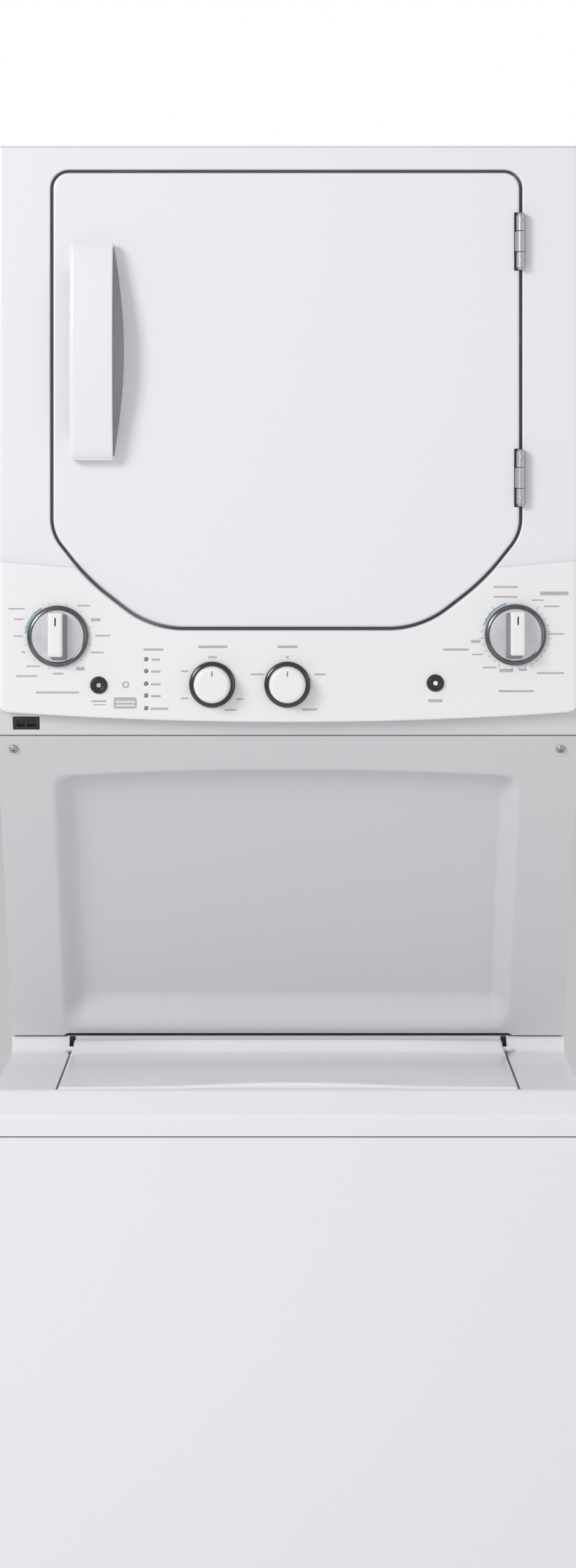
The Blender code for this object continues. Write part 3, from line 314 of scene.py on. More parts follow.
def offset_corners(corners, off):
    n = len(corners)
    lines = []
    for i in range(n):
        p, q = Vector(corners[i][:2]), Vector(corners[(i + 1) % n][:2])
        d = (q - p).normalized()
        lines.append((p + Vector((d.y, -d.x)) * off, d))
    out = []
    for i in range(n):
        p, d = lines[i - 1]
        q, e = lines[i]
        s = ((q.x - p.x) * e.y - (q.y - p.y) * e.x) / (d.x * e.y - d.y * e.x)
        x = p + d * s
        out.append((x.x, x.y, max(corners[i][2] + off, 0.0005) if corners[i][2] > 0 else 0.0))
    return out


def inset(pts, dist):
    """Move each point of a counter-clockwise outline inward; dist is a number or one for each point."""
    n = len(pts)
    out = []
    for i in range(n):
        p = Vector(pts[i])
        a = (p - Vector(pts[i - 1]))
        b = (Vector(pts[(i + 1) % n]) - p)
        na, nb = Vector((-a.y, a.x)).normalized(), Vector((-b.y, b.x)).normalized()
        nrm = (na + nb)
        nrm.normalize()
        k = max(0.35, nrm.dot(na))
        d = dist[i] if hasattr(dist, "__len__") else dist
        q = p + nrm * (d / k)
        out.append((q.x, q.y))
    return out


def baked(ob):
    bpy.context.view_layer.update()
    dg = bpy.context.evaluated_depsgraph_get()
    me = bpy.data.meshes.new_from_object(ob.evaluated_get(dg))
    ob.modifiers.clear()
    ob.data = me
    return ob


def boole(ob, op, *tools):
    for t in tools:
        m = ob.modifiers.new(op.lower(), "BOOLEAN")
        m.operation = op
        m.solver = "EXACT"
        m.object = t
    baked(ob)
    for t in tools:
        bpy.data.objects.remove(t, do_unlink=True)
    return ob


def cut(ob, *tools):
    return boole(ob, "DIFFERENCE", *tools)


def fuse(ob, *tools):
    return boole(ob, "UNION", *tools)


def keep(ob, *tools):
    return boole(ob, "INTERSECT", *tools)


def bevel(ob, width, seg=3, angle=35):
    m = ob.modifiers.new("bevel", "BEVEL")
    m.width = width
    m.segments = seg
    m.limit_method = "ANGLE"
    m.angle_limit = math.radians(angle)
    m.use_clamp_overlap = True
    return baked(ob)


def thicken(ob, t, offset=-1.0, even=True):
    m = ob.modifiers.new("thicken", "SOLIDIFY")
    m.thickness = t
    m.offset = offset
    m.use_even_offset = even
    return baked(ob)


def piece(ob, mat, body, *nodes, angle=40, slot=None, weight=True):
    me = ob.data
    me.shade_smooth()
    me.set_sharp_from_angle(angle=math.radians(angle))
    if weight:
        m = ob.modifiers.new("normals", "WEIGHTED_NORMAL")
        m.keep_sharp = True
        m.mode = "FACE_AREA"
        baked(ob)
    ob.data.materials.clear()
    ob.data.materials.append(M[mat])
    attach(ob, body)
    if nodes:
        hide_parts(*nodes)
    return ob


def joined(name, obs):
    """Several objects' meshes in one object."""
    bm = bmesh.new()
    for o in obs:
        me = o.data.copy()
        me.transform(o.matrix_world)
        bm.from_mesh(me)
        bpy.data.objects.remove(o, do_unlink=True)
    me = bpy.data.meshes.new(name)
    bm.to_mesh(me)
    bm.free()
    ob = bpy.data.objects.new(name, me)
    bpy.context.scene.collection.objects.link(ob)
    return ob


def refined(name, node, mat, body, width=0.0008, seg=2, angle=40, slot=None):
    """A softened copy of a CAD node: welded, flat faces joined, edges rounded."""
    src = frame["nodes"][node]
    bm = bmesh.new()
    bm.from_mesh(src.data)
    bmesh.ops.remove_doubles(bm, verts=bm.verts, dist=2e-6)
    bmesh.ops.dissolve_limit(bm, angle_limit=math.radians(1.0), verts=bm.verts, edges=bm.edges)
    me = bpy.data.meshes.new(name)
    bm.to_mesh(me)
    bm.free()
    ob = bpy.data.objects.new(name, me)
    bpy.context.scene.collection.objects.link(ob)
    if width:
        bevel(ob, width, seg, angle)
    return piece(ob, mat, body, node, angle=50, slot=slot)


def step(x, a, b):
    u = min(1.0, max(0.0, (x - a) / (b - a)))
    return u * u * (3 - 2 * u)


def arc(cx, cy, r, a0, a1, n):
    return [(cx + r * math.cos(math.radians(a0 + (a1 - a0) * k / n)), cy + r * math.sin(math.radians(a0 + (a1 - a0) * k / n)))
            for k in range(n + 1)]


# ------------------------------------------------------------------ dryer door, pocket and front
dl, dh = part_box("dryer_door")
DCX = (dl.x + dh.x) / 2
DOOR = [(DCX - 0.1560, dl.z, 0.110), (DCX + 0.1560, dl.z, 0.110), (DCX + 0.2290, dl.z + 0.0565, 0.250),
        (dh.x, dl.z + 0.1095, 0.050), (dh.x, dh.z, 0.018), (dl.x, dh.z, 0.018), (dl.x, dl.z + 0.1095, 0.050),
        (DCX - 0.2290, dl.z + 0.0565, 0.250)]
SEG = 18


def door_loop(off, y):
    return [(x, y, z) for x, z in rounded(offset_corners(DOOR, off), SEG)]


HX, HY = JOINT["dryer_door_hinge"]["pos_m"][:2]
HINGES = {}
for which in ("upper", "lower"):
    a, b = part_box(which + "_hinge_frame_leaf")
    HINGES[which] = ((a.z + b.z) / 2, (b.z - a.z) / 2)

R = 0.0032
loops = [door_loop(-R - 0.0008, dl.y)]
for k in range(7):
    t = math.radians(90 * k / 6)
    loops.append(door_loop(-R * (1 - math.sin(t)), dl.y + R * (1 - math.cos(t))))
loops += [door_loop(0, dl.y + R + 0.0006), door_loop(0, dh.y - 0.0006), door_loop(-0.0003, dh.y), door_loop(-0.0018, dh.y),
          door_loop(-0.0020, dh.y - 0.0006), door_loop(-0.0020, dl.y + 0.0030), door_loop(-0.0034, dl.y + 0.0018)]
door = loft("door_skin", loops)
tools = []
for which, (hz, L) in HINGES.items():
    tools.append(turned("t_knuckle_" + which, [(0, -L - 0.001), (0.0072, -L - 0.001), (0.0072, L + 0.001), (0, L + 0.001)], "Z",
                        (HX, HY, hz), 32))
    tools.append(block("t_leaf_" + which, (HX - 0.008, HX + 0.005), (-0.350, -0.3225), (hz - L - 0.001, hz + L + 0.001)))
cut(door, *tools)
piece(door, "enamel", "dryer_door", "dryer_door", slot="enamel_white")

# liner: a moulded sheet with a round plug, a raised rib and a gasket channel
ll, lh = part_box("door_liner")
pz = 1.620
ly0, ly1 = -0.3225, -0.3203
plate = loft("door_liner_moulding", [door_loop(-0.0030, ly0), door_loop(-0.0024, ly0 + 0.0005), door_loop(-0.0024, ly1 - 0.0006),
                                    door_loop(-0.0030, ly1)])
plug = turned("t_plug", [(0, -0.3215), (0.1910, -0.3215), (0.1916, -0.3180), (0.1906, -0.3130), (0.1890, -0.3102),
                         (0.1862, -0.3082), (0.1820, -0.3072), (0.1780, -0.3073), (0.1745, -0.3082), (0.1720, -0.3096),
                         (0.1690, -0.3105), (0.1560, -0.3107), (0.1530, -0.3100), (0.1510, -0.3086), (0.1480, -0.3080),
                         (0.0900, -0.3076), (0, -0.3074)], "Y", (DCX, 0, pz), 128)
fuse(plate, plug)
tools = [block("t_liner_leaf_" + w, (HX - 0.016, HX + 0.005), (-0.350, -0.300), (hz - L - 0.001, hz + L + 0.001))
         for w, (hz, L) in HINGES.items()]
cut(plate, *tools)
fuse(plate, block("t_strike", (-0.2520, -0.2450), (-0.3212, -0.2990), (1.613, 1.627)))
bevel(plate, 0.0005, 2, 40)
piece(plate, "liner", "dryer_door", "door_liner", slot="liner_plastic")
seal = turned("door_seal", [(0.2005, -0.3201), (0.2085, -0.3201), (0.2090, -0.3190), (0.2075, -0.3180), (0.2015, -0.3180),
                            (0.2000, -0.3190)], "Y", (DCX, 0, pz), 128)
piece(seal, "felt", "dryer_door", angle=60)

# front panel with its door pocket and loading port
fl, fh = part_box("dryer_front_panel")
FY, ER = fl.y, 0.008
PORT_R = 0.210
gap = 0.0038
bm = bmesh.new()
zb, zt = fl.z, fh.z
pocket = rounded(offset_corners(DOOR, gap + 0.0020), SEG)
xs = HW - ER
frame_rect = [(-xs, zb), (xs, zb), (xs, zt), (-xs, zt)]
patch(bm, frame_rect, [pocket], lambda x, z: (x, FY, z))


def strip(rows, ring=True):
    vs = [[bm.verts.new(p) for p in row] for row in rows]
    n = len(rows[0])
    for i in range(len(rows) - 1):
        for k in range(n if ring else n - 1):
            j = (k + 1) % n
            bm.faces.new((vs[i][k], vs[i][j], vs[i + 1][j], vs[i + 1][k]))


rows = []
for k in range(6):
    t = math.radians(90 * k / 5)
    rows.append(door_loop(gap + 0.0020 * (1 - math.sin(t)), FY + 0.0020 * (1 - math.cos(t))))
rows += [door_loop(gap, -0.3200)]
for k in range(1, 5):
    t = math.radians(90 * k / 4)
    rows.append(door_loop(gap - 0.0030 * (1 - math.cos(t)), -0.3200 + 0.0030 * math.sin(t)))
strip(rows)
floor_loop = rounded(offset_corners(DOOR, gap - 0.0030), SEG)
port = [(DCX + (PORT_R + 0.003) * math.cos(2 * math.pi * k / 128), pz + (PORT_R + 0.003) * math.sin(2 * math.pi * k / 128))
        for k in range(128)]
patch(bm, floor_loop, [port], lambda x, z: (x, -0.3170, z))
rows = []
for k in range(6):
    t = math.radians(90 * k / 5)
    rr, yy = PORT_R + 0.003 * (1 - math.sin(t)), -0.3170 + 0.003 * (1 - math.cos(t))
    rows.append([(DCX + rr * math.cos(2 * math.pi * q / 128), yy, pz + rr * math.sin(2 * math.pi * q / 128)) for q in range(128)])
rows.append([(DCX + PORT_R * math.cos(2 * math.pi * q / 128), -0.2700, pz + PORT_R * math.sin(2 * math.pi * q / 128))
             for q in range(128)])
strip(rows)
for s in (-1, 1):
    rows = []
    for k in range(9):
        t = math.radians(90 * k / 8)
        x, y = s * (xs + ER * math.sin(t)), FY + ER * (1 - math.cos(t))
        rows.append([(x, y, zb), (x, y, zt)])
    rows.append([(s * HW, fh.y if fh.y < -0.32 else -0.326, zb), (s * HW, fh.y if fh.y < -0.32 else -0.326, zt)])
    strip(rows, ring=False)
front = new_object("dryer_front_shell", bm, 2e-6)
# the sheet's outside faces forward
if sum(p.normal.y * p.area for p in front.data.polygons) > 0:
    front.data.flip_normals()
thicken(front, 0.0014)
tools = [block("t_slot", (-0.0925, 0.0925), (-0.3020, -0.2920), (1.38, 1.47)),
         block("t_strike_hole", (-0.2585, -0.2385), (-0.330, -0.300), (1.603, 1.637))]
for which, (hz, L) in HINGES.items():
    tools.append(turned("t_hinge_" + which, [(0, -L - 0.001), (0.0072, -L - 0.001), (0.0072, L + 0.001), (0, L + 0.001)], "Z",
                        (HX, HY, hz), 32))
cut(front, *tools)
piece(front, "enamel", "root", "dryer_front_panel", slot="enamel_white")

# ------------------------------------------------------------------ door handle
a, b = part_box("door_handle")
hx0, hx1 = -0.2530, -0.2030
HZ0, HZ1 = a.z, b.z
yfront, ydoor = -0.3580, b.y
N = 56
rows = []
for i in range(N + 1):
    s = i / N
    z = HZ0 + (HZ1 - HZ0) * s
    bow = max(0.0, math.sin(math.pi * s)) ** 0.62
    yf = yfront - 0.0196 * bow
    flank = 0.0125 * math.sin(math.pi * s)
    th = 0.0075
    pts = [(hx0, yf + th), (hx0, yf + 0.0052)] + [(hx0 + 0.0052 - 0.0052 * math.cos(math.radians(t)), yf + 0.0052 - 0.0052 * math.sin(math.radians(t)))
                                               for t in (15, 30, 45, 60, 75, 90)]
    pts += [(hx0 + 0.014, yf - 0.0001), (hx0 + 0.026, yf - 0.0003), (hx0 + 0.038, yf - 0.0002), (hx1 - 0.0015, yf)]
    pts += [(hx1 - 0.0015 + 0.0015 * math.sin(math.radians(t)), yf + 0.0015 - 0.0015 * math.cos(math.radians(t))) for t in (30, 60, 80)]
    pts += [(hx1 + 0.0002 + flank * 0.35, yf + 0.0042), (hx1 + 0.0006 + flank * 0.75, yf + th), (hx1 + 0.0008 + flank, yf + th + 0.0020),
            (hx1 + flank * 0.8, yf + th + 0.0024), (hx1 - 0.006, yf + th + 0.0006), (hx0 + 0.012, yf + th + 0.0002)]
    rows.append([(x, y, z) for x, y in pts])
# rounded top and bottom ends
def end(row, dz, shrink):
    c = Vector((sum(p[0] for p in row) / len(row), sum(p[1] for p in row) / len(row), row[0][2]))
    return [(c.x + (p[0] - c.x) * shrink, c.y + (p[1] - c.y) * (1 - (1 - shrink) * 2.5), p[2] + dz) for p in row]
rows[0] = [(p[0], p[1], p[2] + 0.0012) for p in rows[0]]
rows[-1] = [(p[0], p[1], p[2] - 0.0012) for p in rows[-1]]
rows = [end(rows[0], -0.0012, 0.965), end(rows[0], -0.0006, 0.985)] + rows + [end(rows[-1], 0.0006, 0.985), end(rows[-1], 0.0012, 0.965)]
handle = loft("bowed_handle", rows)
for nm, z0, z1 in (("lo", HZ0 + 0.0003, HZ0 + 0.030), ("hi", HZ1 - 0.030, HZ1 - 0.0003)):
    foot = prism("t_handle_" + nm, rect(hx0 + 0.0012, hx1 - 0.0004, z0, z1, 0.002, 4), "Y", yfront + 0.0030, ydoor)
    fuse(handle, foot)
bevel(handle, 0.0004, 2, 50)
piece(handle, "enamel", "dryer_door", "door_handle", angle=50, slot="enamel_white")
# painted shade: the handle's right flank gets the dark grey second material for the shadow on that side
handle.data.materials.append(M["shade"])
for poly in handle.data.polygons:
    if poly.center.x > hx1 + 0.0002 and poly.normal.x > 0.30 and HZ0 + 0.004 < poly.center.z < HZ1 - 0.004:
        poly.material_index = 1

# ------------------------------------------------------------------ hinges
for which, (hz, L) in HINGES.items():
    at = (HX, HY, hz)
    r, c = 0.0055, 0.0032

    def barrel(z0, z1, lo_taper, hi_taper, bore=None):
        prof = [(bore or 0, z0)]
        prof += [(r - 0.0022, z0), (r - 0.0004, z0 + 0.0028), (r, z0 + c)] if lo_taper else [(r - 0.0005, z0), (r, z0 + 0.0005)]
        prof += [(r, z1 - c), (r - 0.0004, z1 - 0.0028), (r - 0.0022, z1)] if hi_taper else [(r, z1 - 0.0005), (r - 0.0005, z1)]
        prof += [(bore or 0, z1)]
        return prof

    lower = turned("t_k0" + which, barrel(-L, -0.0125, True, False), "Z", at, 40)
    upper = turned("t_k1" + which, barrel(0.0125, L, False, True), "Z", at, 40)
    pin = turned("t_pin" + which, [(0, -0.0150), (0.0024, -0.0150), (0.0024, 0.0150), (0, 0.0150)], "Z", at, 24)
    dots = []
    for q in (-0.0235, 0.0235):
        dots.append(turned("t_dot%g" % q + which, [(0, -0.0062), (0.0012, -0.0061), (0.0022, -0.0056), (0.0027, -0.0046), (0.0027, -0.003),
                                                  (0, -0.003)], "Y", (HX, HY, hz + q), 24))
    wall = [block("t_w%d" % i + which, (HX + 0.0006, HX + 0.0014), (HY + 0.002, -0.3180), zz)
            for i, zz in enumerate(((hz - L + 0.0006, hz - 0.0131), (hz + 0.0131, hz + L - 0.0006)))]
    leaf = joined(which + "_hinge_knuckles", [lower, upper, pin, *dots, *wall])
    piece(leaf, "silver", "root", which + "_hinge_frame_leaf", angle=35, slot="silver", weight=False)
    mid = turned("t_m" + which, [(0.00265, -0.0120), (r - 0.0005, -0.0120), (r, -0.0115), (r, 0.0115), (r - 0.0005, 0.0120),
                                 (0.00265, 0.0120)], "Z", at, 40)
    tongue = block("t_t" + which, (HX - 0.0072, HX - 0.0040), (HY + 0.0010, -0.3228), (hz - 0.0114, hz + 0.0114))
    piece(joined(which + "_hinge_tongue", [mid, tongue]), "silver", "dryer_door", which + "_hinge_door_leaf", angle=35,
          slot="silver", weight=False)

# ------------------------------------------------------------------ console fascia
cl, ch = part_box("console_fascia")
CY, CB = cl.y, ch.y
XE = ch.x


def seam(x):
    if x < -0.2550:
        return 1.4362 + (1.4430 - 1.4362) * (-0.2550 - x) / (0.3385 - 0.2550)
    if x > 0.2510:
        return 1.4362 + (1.4440 - 1.4362) * (x - 0.2510) / (0.3385 - 0.2510)
    return 1.4362


loop = rounded(offset_corners(DOOR, 0.0042), 24)
loop = [p for p in loop]
start = max(range(len(loop)), key=lambda i: (loop[i][1] > 1.6, loop[i][0], loop[i][1]))
ring = [loop[(start - i) % len(loop)] for i in range(len(loop))]          # clockwise from the upper right
notch = []
for i, p in enumerate(ring):
    q = ring[(i + 1) % len(ring)]
    fp_, fq = p[1] - seam(p[0]), q[1] - seam(q[0])
    if (fp_ > 0) != (fq > 0):
        u = fp_ / (fp_ - fq)
        notch.append((p[0] + (q[0] - p[0]) * u, p[1] + (q[1] - p[1]) * u, 1))
        continue
    if fp_ <= 0:
        notch.append((p[0], p[1], 0))
first = next(i for i, p in enumerate(notch) if p[2] == 1)
# order: enter at the right crossing, leave at the left crossing
cross = [i for i, p in enumerate(notch) if p[2] == 1]
notch = notch[cross[0]:cross[1] + 1] if notch[cross[0]][0] > notch[cross[1]][0] else notch[cross[1]:] + notch[:cross[0] + 1]
notch = [(p[0], p[1]) for p in notch]
dense = []
for i in range(len(notch) - 1):
    p, q = Vector(notch[i]), Vector(notch[i + 1])
    m = max(1, int((q - p).length / 0.012))
    dense += [tuple(p.lerp(q, k / m)) for k in range(m)]
notch = dense + [notch[-1]]
out = []
for i in range(41):
    x = -0.326 + 0.652 * i / 40
    out.append((x, 1.2561 + 0.0114 * (x / 0.326) ** 2))
corner_r = rounded([(0.300, 1.2658, 0), (0.3320, 1.2690, 0.006), (XE, 1.2760, 0.004), (XE, 1.40, 0)], 4)[1:-1]
out += corner_r
out += [(XE, 1.2900 + (1.4420 - 1.2900) * k / 12) for k in range(13)]
out += [(XE - 0.0010, seam(XE) - 0.0002)]
right = notch[0]
out += [(XE - 0.004 - (XE - 0.004 - right[0] - 0.002) * k / 6, seam(XE - 0.004 - (XE - 0.004 - right[0] - 0.002) * k / 6)) for k in range(7)]
out += notch[1:-1]
left = notch[-1]
out += [(left[0] - 0.002 + (-XE + 0.004 - left[0] + 0.002) * k / 6, seam(left[0] - 0.002 + (-XE + 0.004 - left[0] + 0.002) * k / 6)) for k in range(7)]
out += [(-XE + 0.0010, seam(-XE) - 0.0002)]
out += [(-XE, 1.4420 - (1.4420 - 1.2900) * k / 12) for k in range(13)]
out += [(-x, z) for x, z in reversed(corner_r)]
clean = []
for p in out:
    if not clean or (Vector(p) - Vector(clean[-1])).length > 0.0004:
        clean.append(p)
if (Vector(clean[0]) - Vector(clean[-1])).length < 0.0004:
    clean.pop()
FAS = clean


def radius_at(p):
    return 0.0024


RR = [radius_at(p) for p in FAS]
# smooth the radius along the outline
for _ in range(3):
    RR = [(RR[i - 1] + 2 * RR[i] + RR[(i + 1) % len(RR)]) / 4 for i in range(len(RR))]
bm = bmesh.new()
rows = []
flat = inset(FAS, [r + 0.0006 for r in RR])
for k in range(7):
    t = math.radians(90 * k / 6)
    lp = inset(FAS, [r * (1 - math.sin(t)) for r in RR])
    rows.append([(p[0], CY + RR[i] * (1 - math.cos(t)), p[1]) for i, p in enumerate(lp)])
rows.insert(0, [(p[0], CY, p[1]) for p in flat])
rows.append([(p[0], CB, p[1]) for p in FAS])
strip(rows)
holes = []
KN = {k: JOINT[j]["pos_m"] for k, j in (("L", "washer_cycle_turn"), ("R", "dryer_cycle_turn"), ("T", "temperature_turn"), ("S", "load_size_turn"))}
ba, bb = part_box("washer_start_button")
BW = ((ba.x + bb.x) / 2, (ba.z + bb.z) / 2)
ba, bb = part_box("dryer_start_button")
BD = ((ba.x + bb.x) / 2, (ba.z + bb.z) / 2)
la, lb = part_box("cycle_status_lights")
LX = (la.x + lb.x) / 2
LZ = [1.3294, 1.3156, 1.3009, 1.2871, 1.2724]
for x, z, r, n in [(p[0], p[2], 0.0060, 24) for p in KN.values()] + [(*BW, 0.0099, 40), (*BD, 0.0099, 40)] + [(LX, z, 0.0025, 20) for z in LZ]:
    lip = 0.0005
    holes.append([(x + (r + lip) * math.cos(2 * math.pi * k / n), z + (r + lip) * math.sin(2 * math.pi * k / n)) for k in range(n)])
    hr = []
    for k in range(4):
        t = math.radians(90 * k / 3)
        rr, yy = r + lip * (1 - math.sin(t)), CY + lip * (1 - math.cos(t))
        hr.append([(x + rr * math.cos(2 * math.pi * q / n), yy, z + rr * math.sin(2 * math.pi * q / n)) for q in range(n)])
    hr.append([(x + r * math.cos(2 * math.pi * q / n), CY + 0.0030, z + r * math.sin(2 * math.pi * q / n)) for q in range(n)])
    strip(hr)
patch(bm, flat, holes, lambda x, z: (x, CY, z))
bmesh.ops.remove_doubles(bm, verts=bm.verts, dist=3e-6)
for d in (0.0085, 0.0074, 0.0063, 0.0052, 0.0042, 0.0032):
    for sgn in (-1, 1):
        bmesh.ops.bisect_plane(bm, geom=bm.verts[:] + bm.edges[:] + bm.faces[:], dist=1e-6, plane_co=(sgn * (XE - d), 0, 0),
                               plane_no=(1, 0, 0))
for v in bm.verts:
    u = min(1.0, max(0.0, (abs(v.co.x) - (XE - 0.0085)) / 0.0085))
    v.co.y += 0.0078 * (1 - math.sqrt(1 - u * u)) * (CB - v.co.y) / (CB - CY)
fascia = new_object("console_moulding", bm, 3e-6)
if sum(p.normal.y * p.area for p in fascia.data.polygons if abs(p.normal.y) > 0.9) > 0:
    fascia.data.flip_normals()
thicken(fascia, 0.0011, even=False)
piece(fascia, "console", "root", "console_fascia", angle=45, slot="console_plastic")

# ------------------------------------------------------------------ printed legends: plain bars, ticks and arcs
INK_Y = CY - 0.00012


def bar(x0, x1, z0, z1):
    r = min(x1 - x0, z1 - z0) * 0.35
    return prism("t_bar", rect(x0, x1, z0, z1, r, 3), "Y", INK_Y, CY + 0.0002)


def dash_line(cx, cz, width, height, n=1):
    obs = []
    if n == 1:
        return [bar(cx - width / 2, cx + width / 2, cz - height / 2, cz + height / 2)]
    gapw = height * 0.55
    w = (width - gapw * (n - 1)) / n
    for i in range(n):
        x = cx - width / 2 + i * (w + gapw)
        obs.append(bar(x, x + w, cz - height / 2, cz + height / 2))
    return obs


def tick(cx, cz, r0, r1, deg, w=0.0006):
    t = math.radians(deg)
    d, e = Vector((math.sin(t), math.cos(t))), Vector((math.cos(t), -math.sin(t)))
    c = Vector((cx, cz))
    pts = [c + d * r0 - e * w, c + d * r0 + e * w, c + d * r1 + e * w, c + d * r1 - e * w]
    return prism("t_tick", [(p.x, p.y) for p in pts], "Y", INK_Y, CY + 0.0002)


def band(name, cx, cz, r0, r1, a0, a1, n=24, y0=None, y1=None):
    pts = []
    for k in range(n + 1):
        t = math.radians(a0 + (a1 - a0) * k / n)
        pts.append((cx + r1 * math.sin(t), cz + r1 * math.cos(t)))
    for k in range(n + 1):
        t = math.radians(a1 + (a0 - a1) * k / n)
        pts.append((cx + r0 * math.sin(t), cz + r0 * math.cos(t)))
    return prism(name, pts, "Y", INK_Y if y0 is None else y0, CY + 0.0002 if y1 is None else y1)


xL, zL = KN["L"][0], KN["L"][2]
xR, zR = KN["R"][0], KN["R"][2]
xT, zT = KN["T"][0], KN["T"][2]
xS, zS = KN["S"][0], KN["S"][2]
light, dark = [], []
# left dial: labels round it and a title under it, placed from its centre
for dx, dz, w, h, n in ((-0.0480, 0.0318, 0.019, 0.0018, 1), (-0.0456, 0.0196, 0.0110, 0.0018, 1), (-0.0460, 0.0000, 0.0105, 0.0018, 1),
                        (-0.0400, -0.0187, 0.0042, 0.0022, 1), (-0.0290, -0.0350, 0.0160, 0.0018, 1), (-0.0362, -0.0464, 0.0245, 0.0022, 1),
                        (0.0004, -0.0436, 0.0120, 0.0020, 1), (0.0300, 0.0354, 0.0150, 0.0018, 1), (0.0440, 0.0190, 0.0115, 0.0036, 1),
                        (0.0523, 0.0006, 0.0175, 0.0020, 1), (0.0455, -0.0190, 0.0155, 0.0018, 1), (0.0262, -0.0378, 0.0100, 0.0042, 1),
                        (-0.0004, -0.0655, 0.0500, 0.0024, 1)):
    light += dash_line(xL + dx, zL + dz, w, h, n)
# right dial
for dx, dz, w, h, n in ((-0.0115, 0.0555, 0.028, 0.0022, 1), (-0.0115, 0.0440, 0.028, 0.0020, 1), (0.0450, 0.0480, 0.033, 0.0044, 1),
                        (0.0420, 0.0330, 0.018, 0.0018, 1), (0.0262, 0.0402, 0.014, 0.0016, 1), (-0.0690, -0.0172, 0.030, 0.0026, 1),
                        (-0.0460, -0.0078, 0.011, 0.0036, 1), (-0.0440, -0.0230, 0.012, 0.0016, 1), (-0.0300, -0.0380, 0.016, 0.0020, 1),
                        (-0.0105, -0.0415, 0.016, 0.0040, 1), (0.0086, -0.0406, 0.009, 0.0030, 1), (0.0405, -0.0445, 0.032, 0.0022, 1),
                        (0.0470, 0.0010, 0.018, 0.0018, 1), (0.0010, -0.0655, 0.041, 0.0024, 1)):
    light += dash_line(xR + dx, zR + dz, w, h, n)
for k in range(26):
    deg = 40 + 280 * k / 25
    light.append(tick(xR, zR, 0.0378, 0.0406 if k % 5 else 0.0424, deg, 0.00045))
for k in range(12):
    light.append(tick(xL, zL, 0.0378, 0.0400, 30 * k + 15, 0.00045))
# small knobs
for cx, cz in ((xT, zT), (xS, zS)):
    light += dash_line(cx + 0.0005, cz + 0.0438, 0.0340 if cx < -0.05 else 0.0235, 0.0030, 1)
light += dash_line(xT + 0.0005, zT + 0.0318, 0.010, 0.0020, 1)
light += dash_line(xS + 0.0003, zS + 0.0318, 0.003, 0.0032, 1)
for dx, dz, w in ((-0.0320, 0.0155, 0.009), (-0.0320, -0.0160, 0.009), (0.0320, -0.0170, 0.008), (0.0215, -0.0295, 0.014)):
    light += dash_line(xT + dx, zT + dz, w, 0.0020, 1)
for dx, dz, w in ((-0.0350, 0.0118, 0.015), (0.0380, 0.0118, 0.013), (0.0260, -0.0290, 0.018)):
    light += dash_line(xS + dx, zS + dz, w, 0.0022, 1)
# start buttons, indicator, lamp column
light += dash_line(BW[0], BW[1] - 0.0186, 0.0175, 0.0022, 1) + dash_line(BW[0] + 0.001, BW[1] - 0.0226, 0.014, 0.0012, 1)
light += dash_line(BD[0], BD[1] - 0.0205, 0.0165, 0.0034, 1)
light += dash_line(LX + 0.0085, LZ[0] + 0.0112, 0.0235, 0.0026, 1)
for i, z in enumerate(LZ):
    light += dash_line(LX + 0.0112 + (0.0040 if i == 4 else 0.0), z - 0.0006, (0.010, 0.011, 0.0115, 0.0115, 0.021)[i], 0.0026, 1)
xI = BW[0] + 0.0306
plate_pts = [(-0.0134, -0.0140), (0.0134, -0.0140), (0.0134, -0.0272), (-0.0134, -0.0272)]
lab = prism("label_block", rect(xI - 0.0134, xI + 0.0134, BW[1] - 0.0272, BW[1] - 0.0140, 0.0022, 5), "Y", INK_Y, CY + 0.0002)
cut(lab, prism("t_label_bar", rect(xI - 0.0112, xI + 0.0112, BW[1] - 0.0202, BW[1] - 0.0184, 0.0006, 3), "Y", -0.36, -0.34),
    prism("t_label_bar2", rect(xI - 0.0112, xI + 0.0112, BW[1] - 0.0244, BW[1] - 0.0228, 0.0006, 3), "Y", -0.36, -0.34))
ind = band("indicator", xI + 0.0006, BW[1] + 0.0006, 0.0022, 0.0042, 0, 350, 32)
piece(joined("console_print", light + [lab, ind]), "ink", "root", weight=False)
# teal and blue arcs drawn as flat print beside the big dials' rings
piece(band("warm_range_left", xL, zL, 0.0364, 0.0385, -85, -30), "ink_teal", "root", weight=False)
piece(band("warm_range_right", xR, zR, 0.0366, 0.0388, -72, -16), "ink_blue", "root", weight=False)


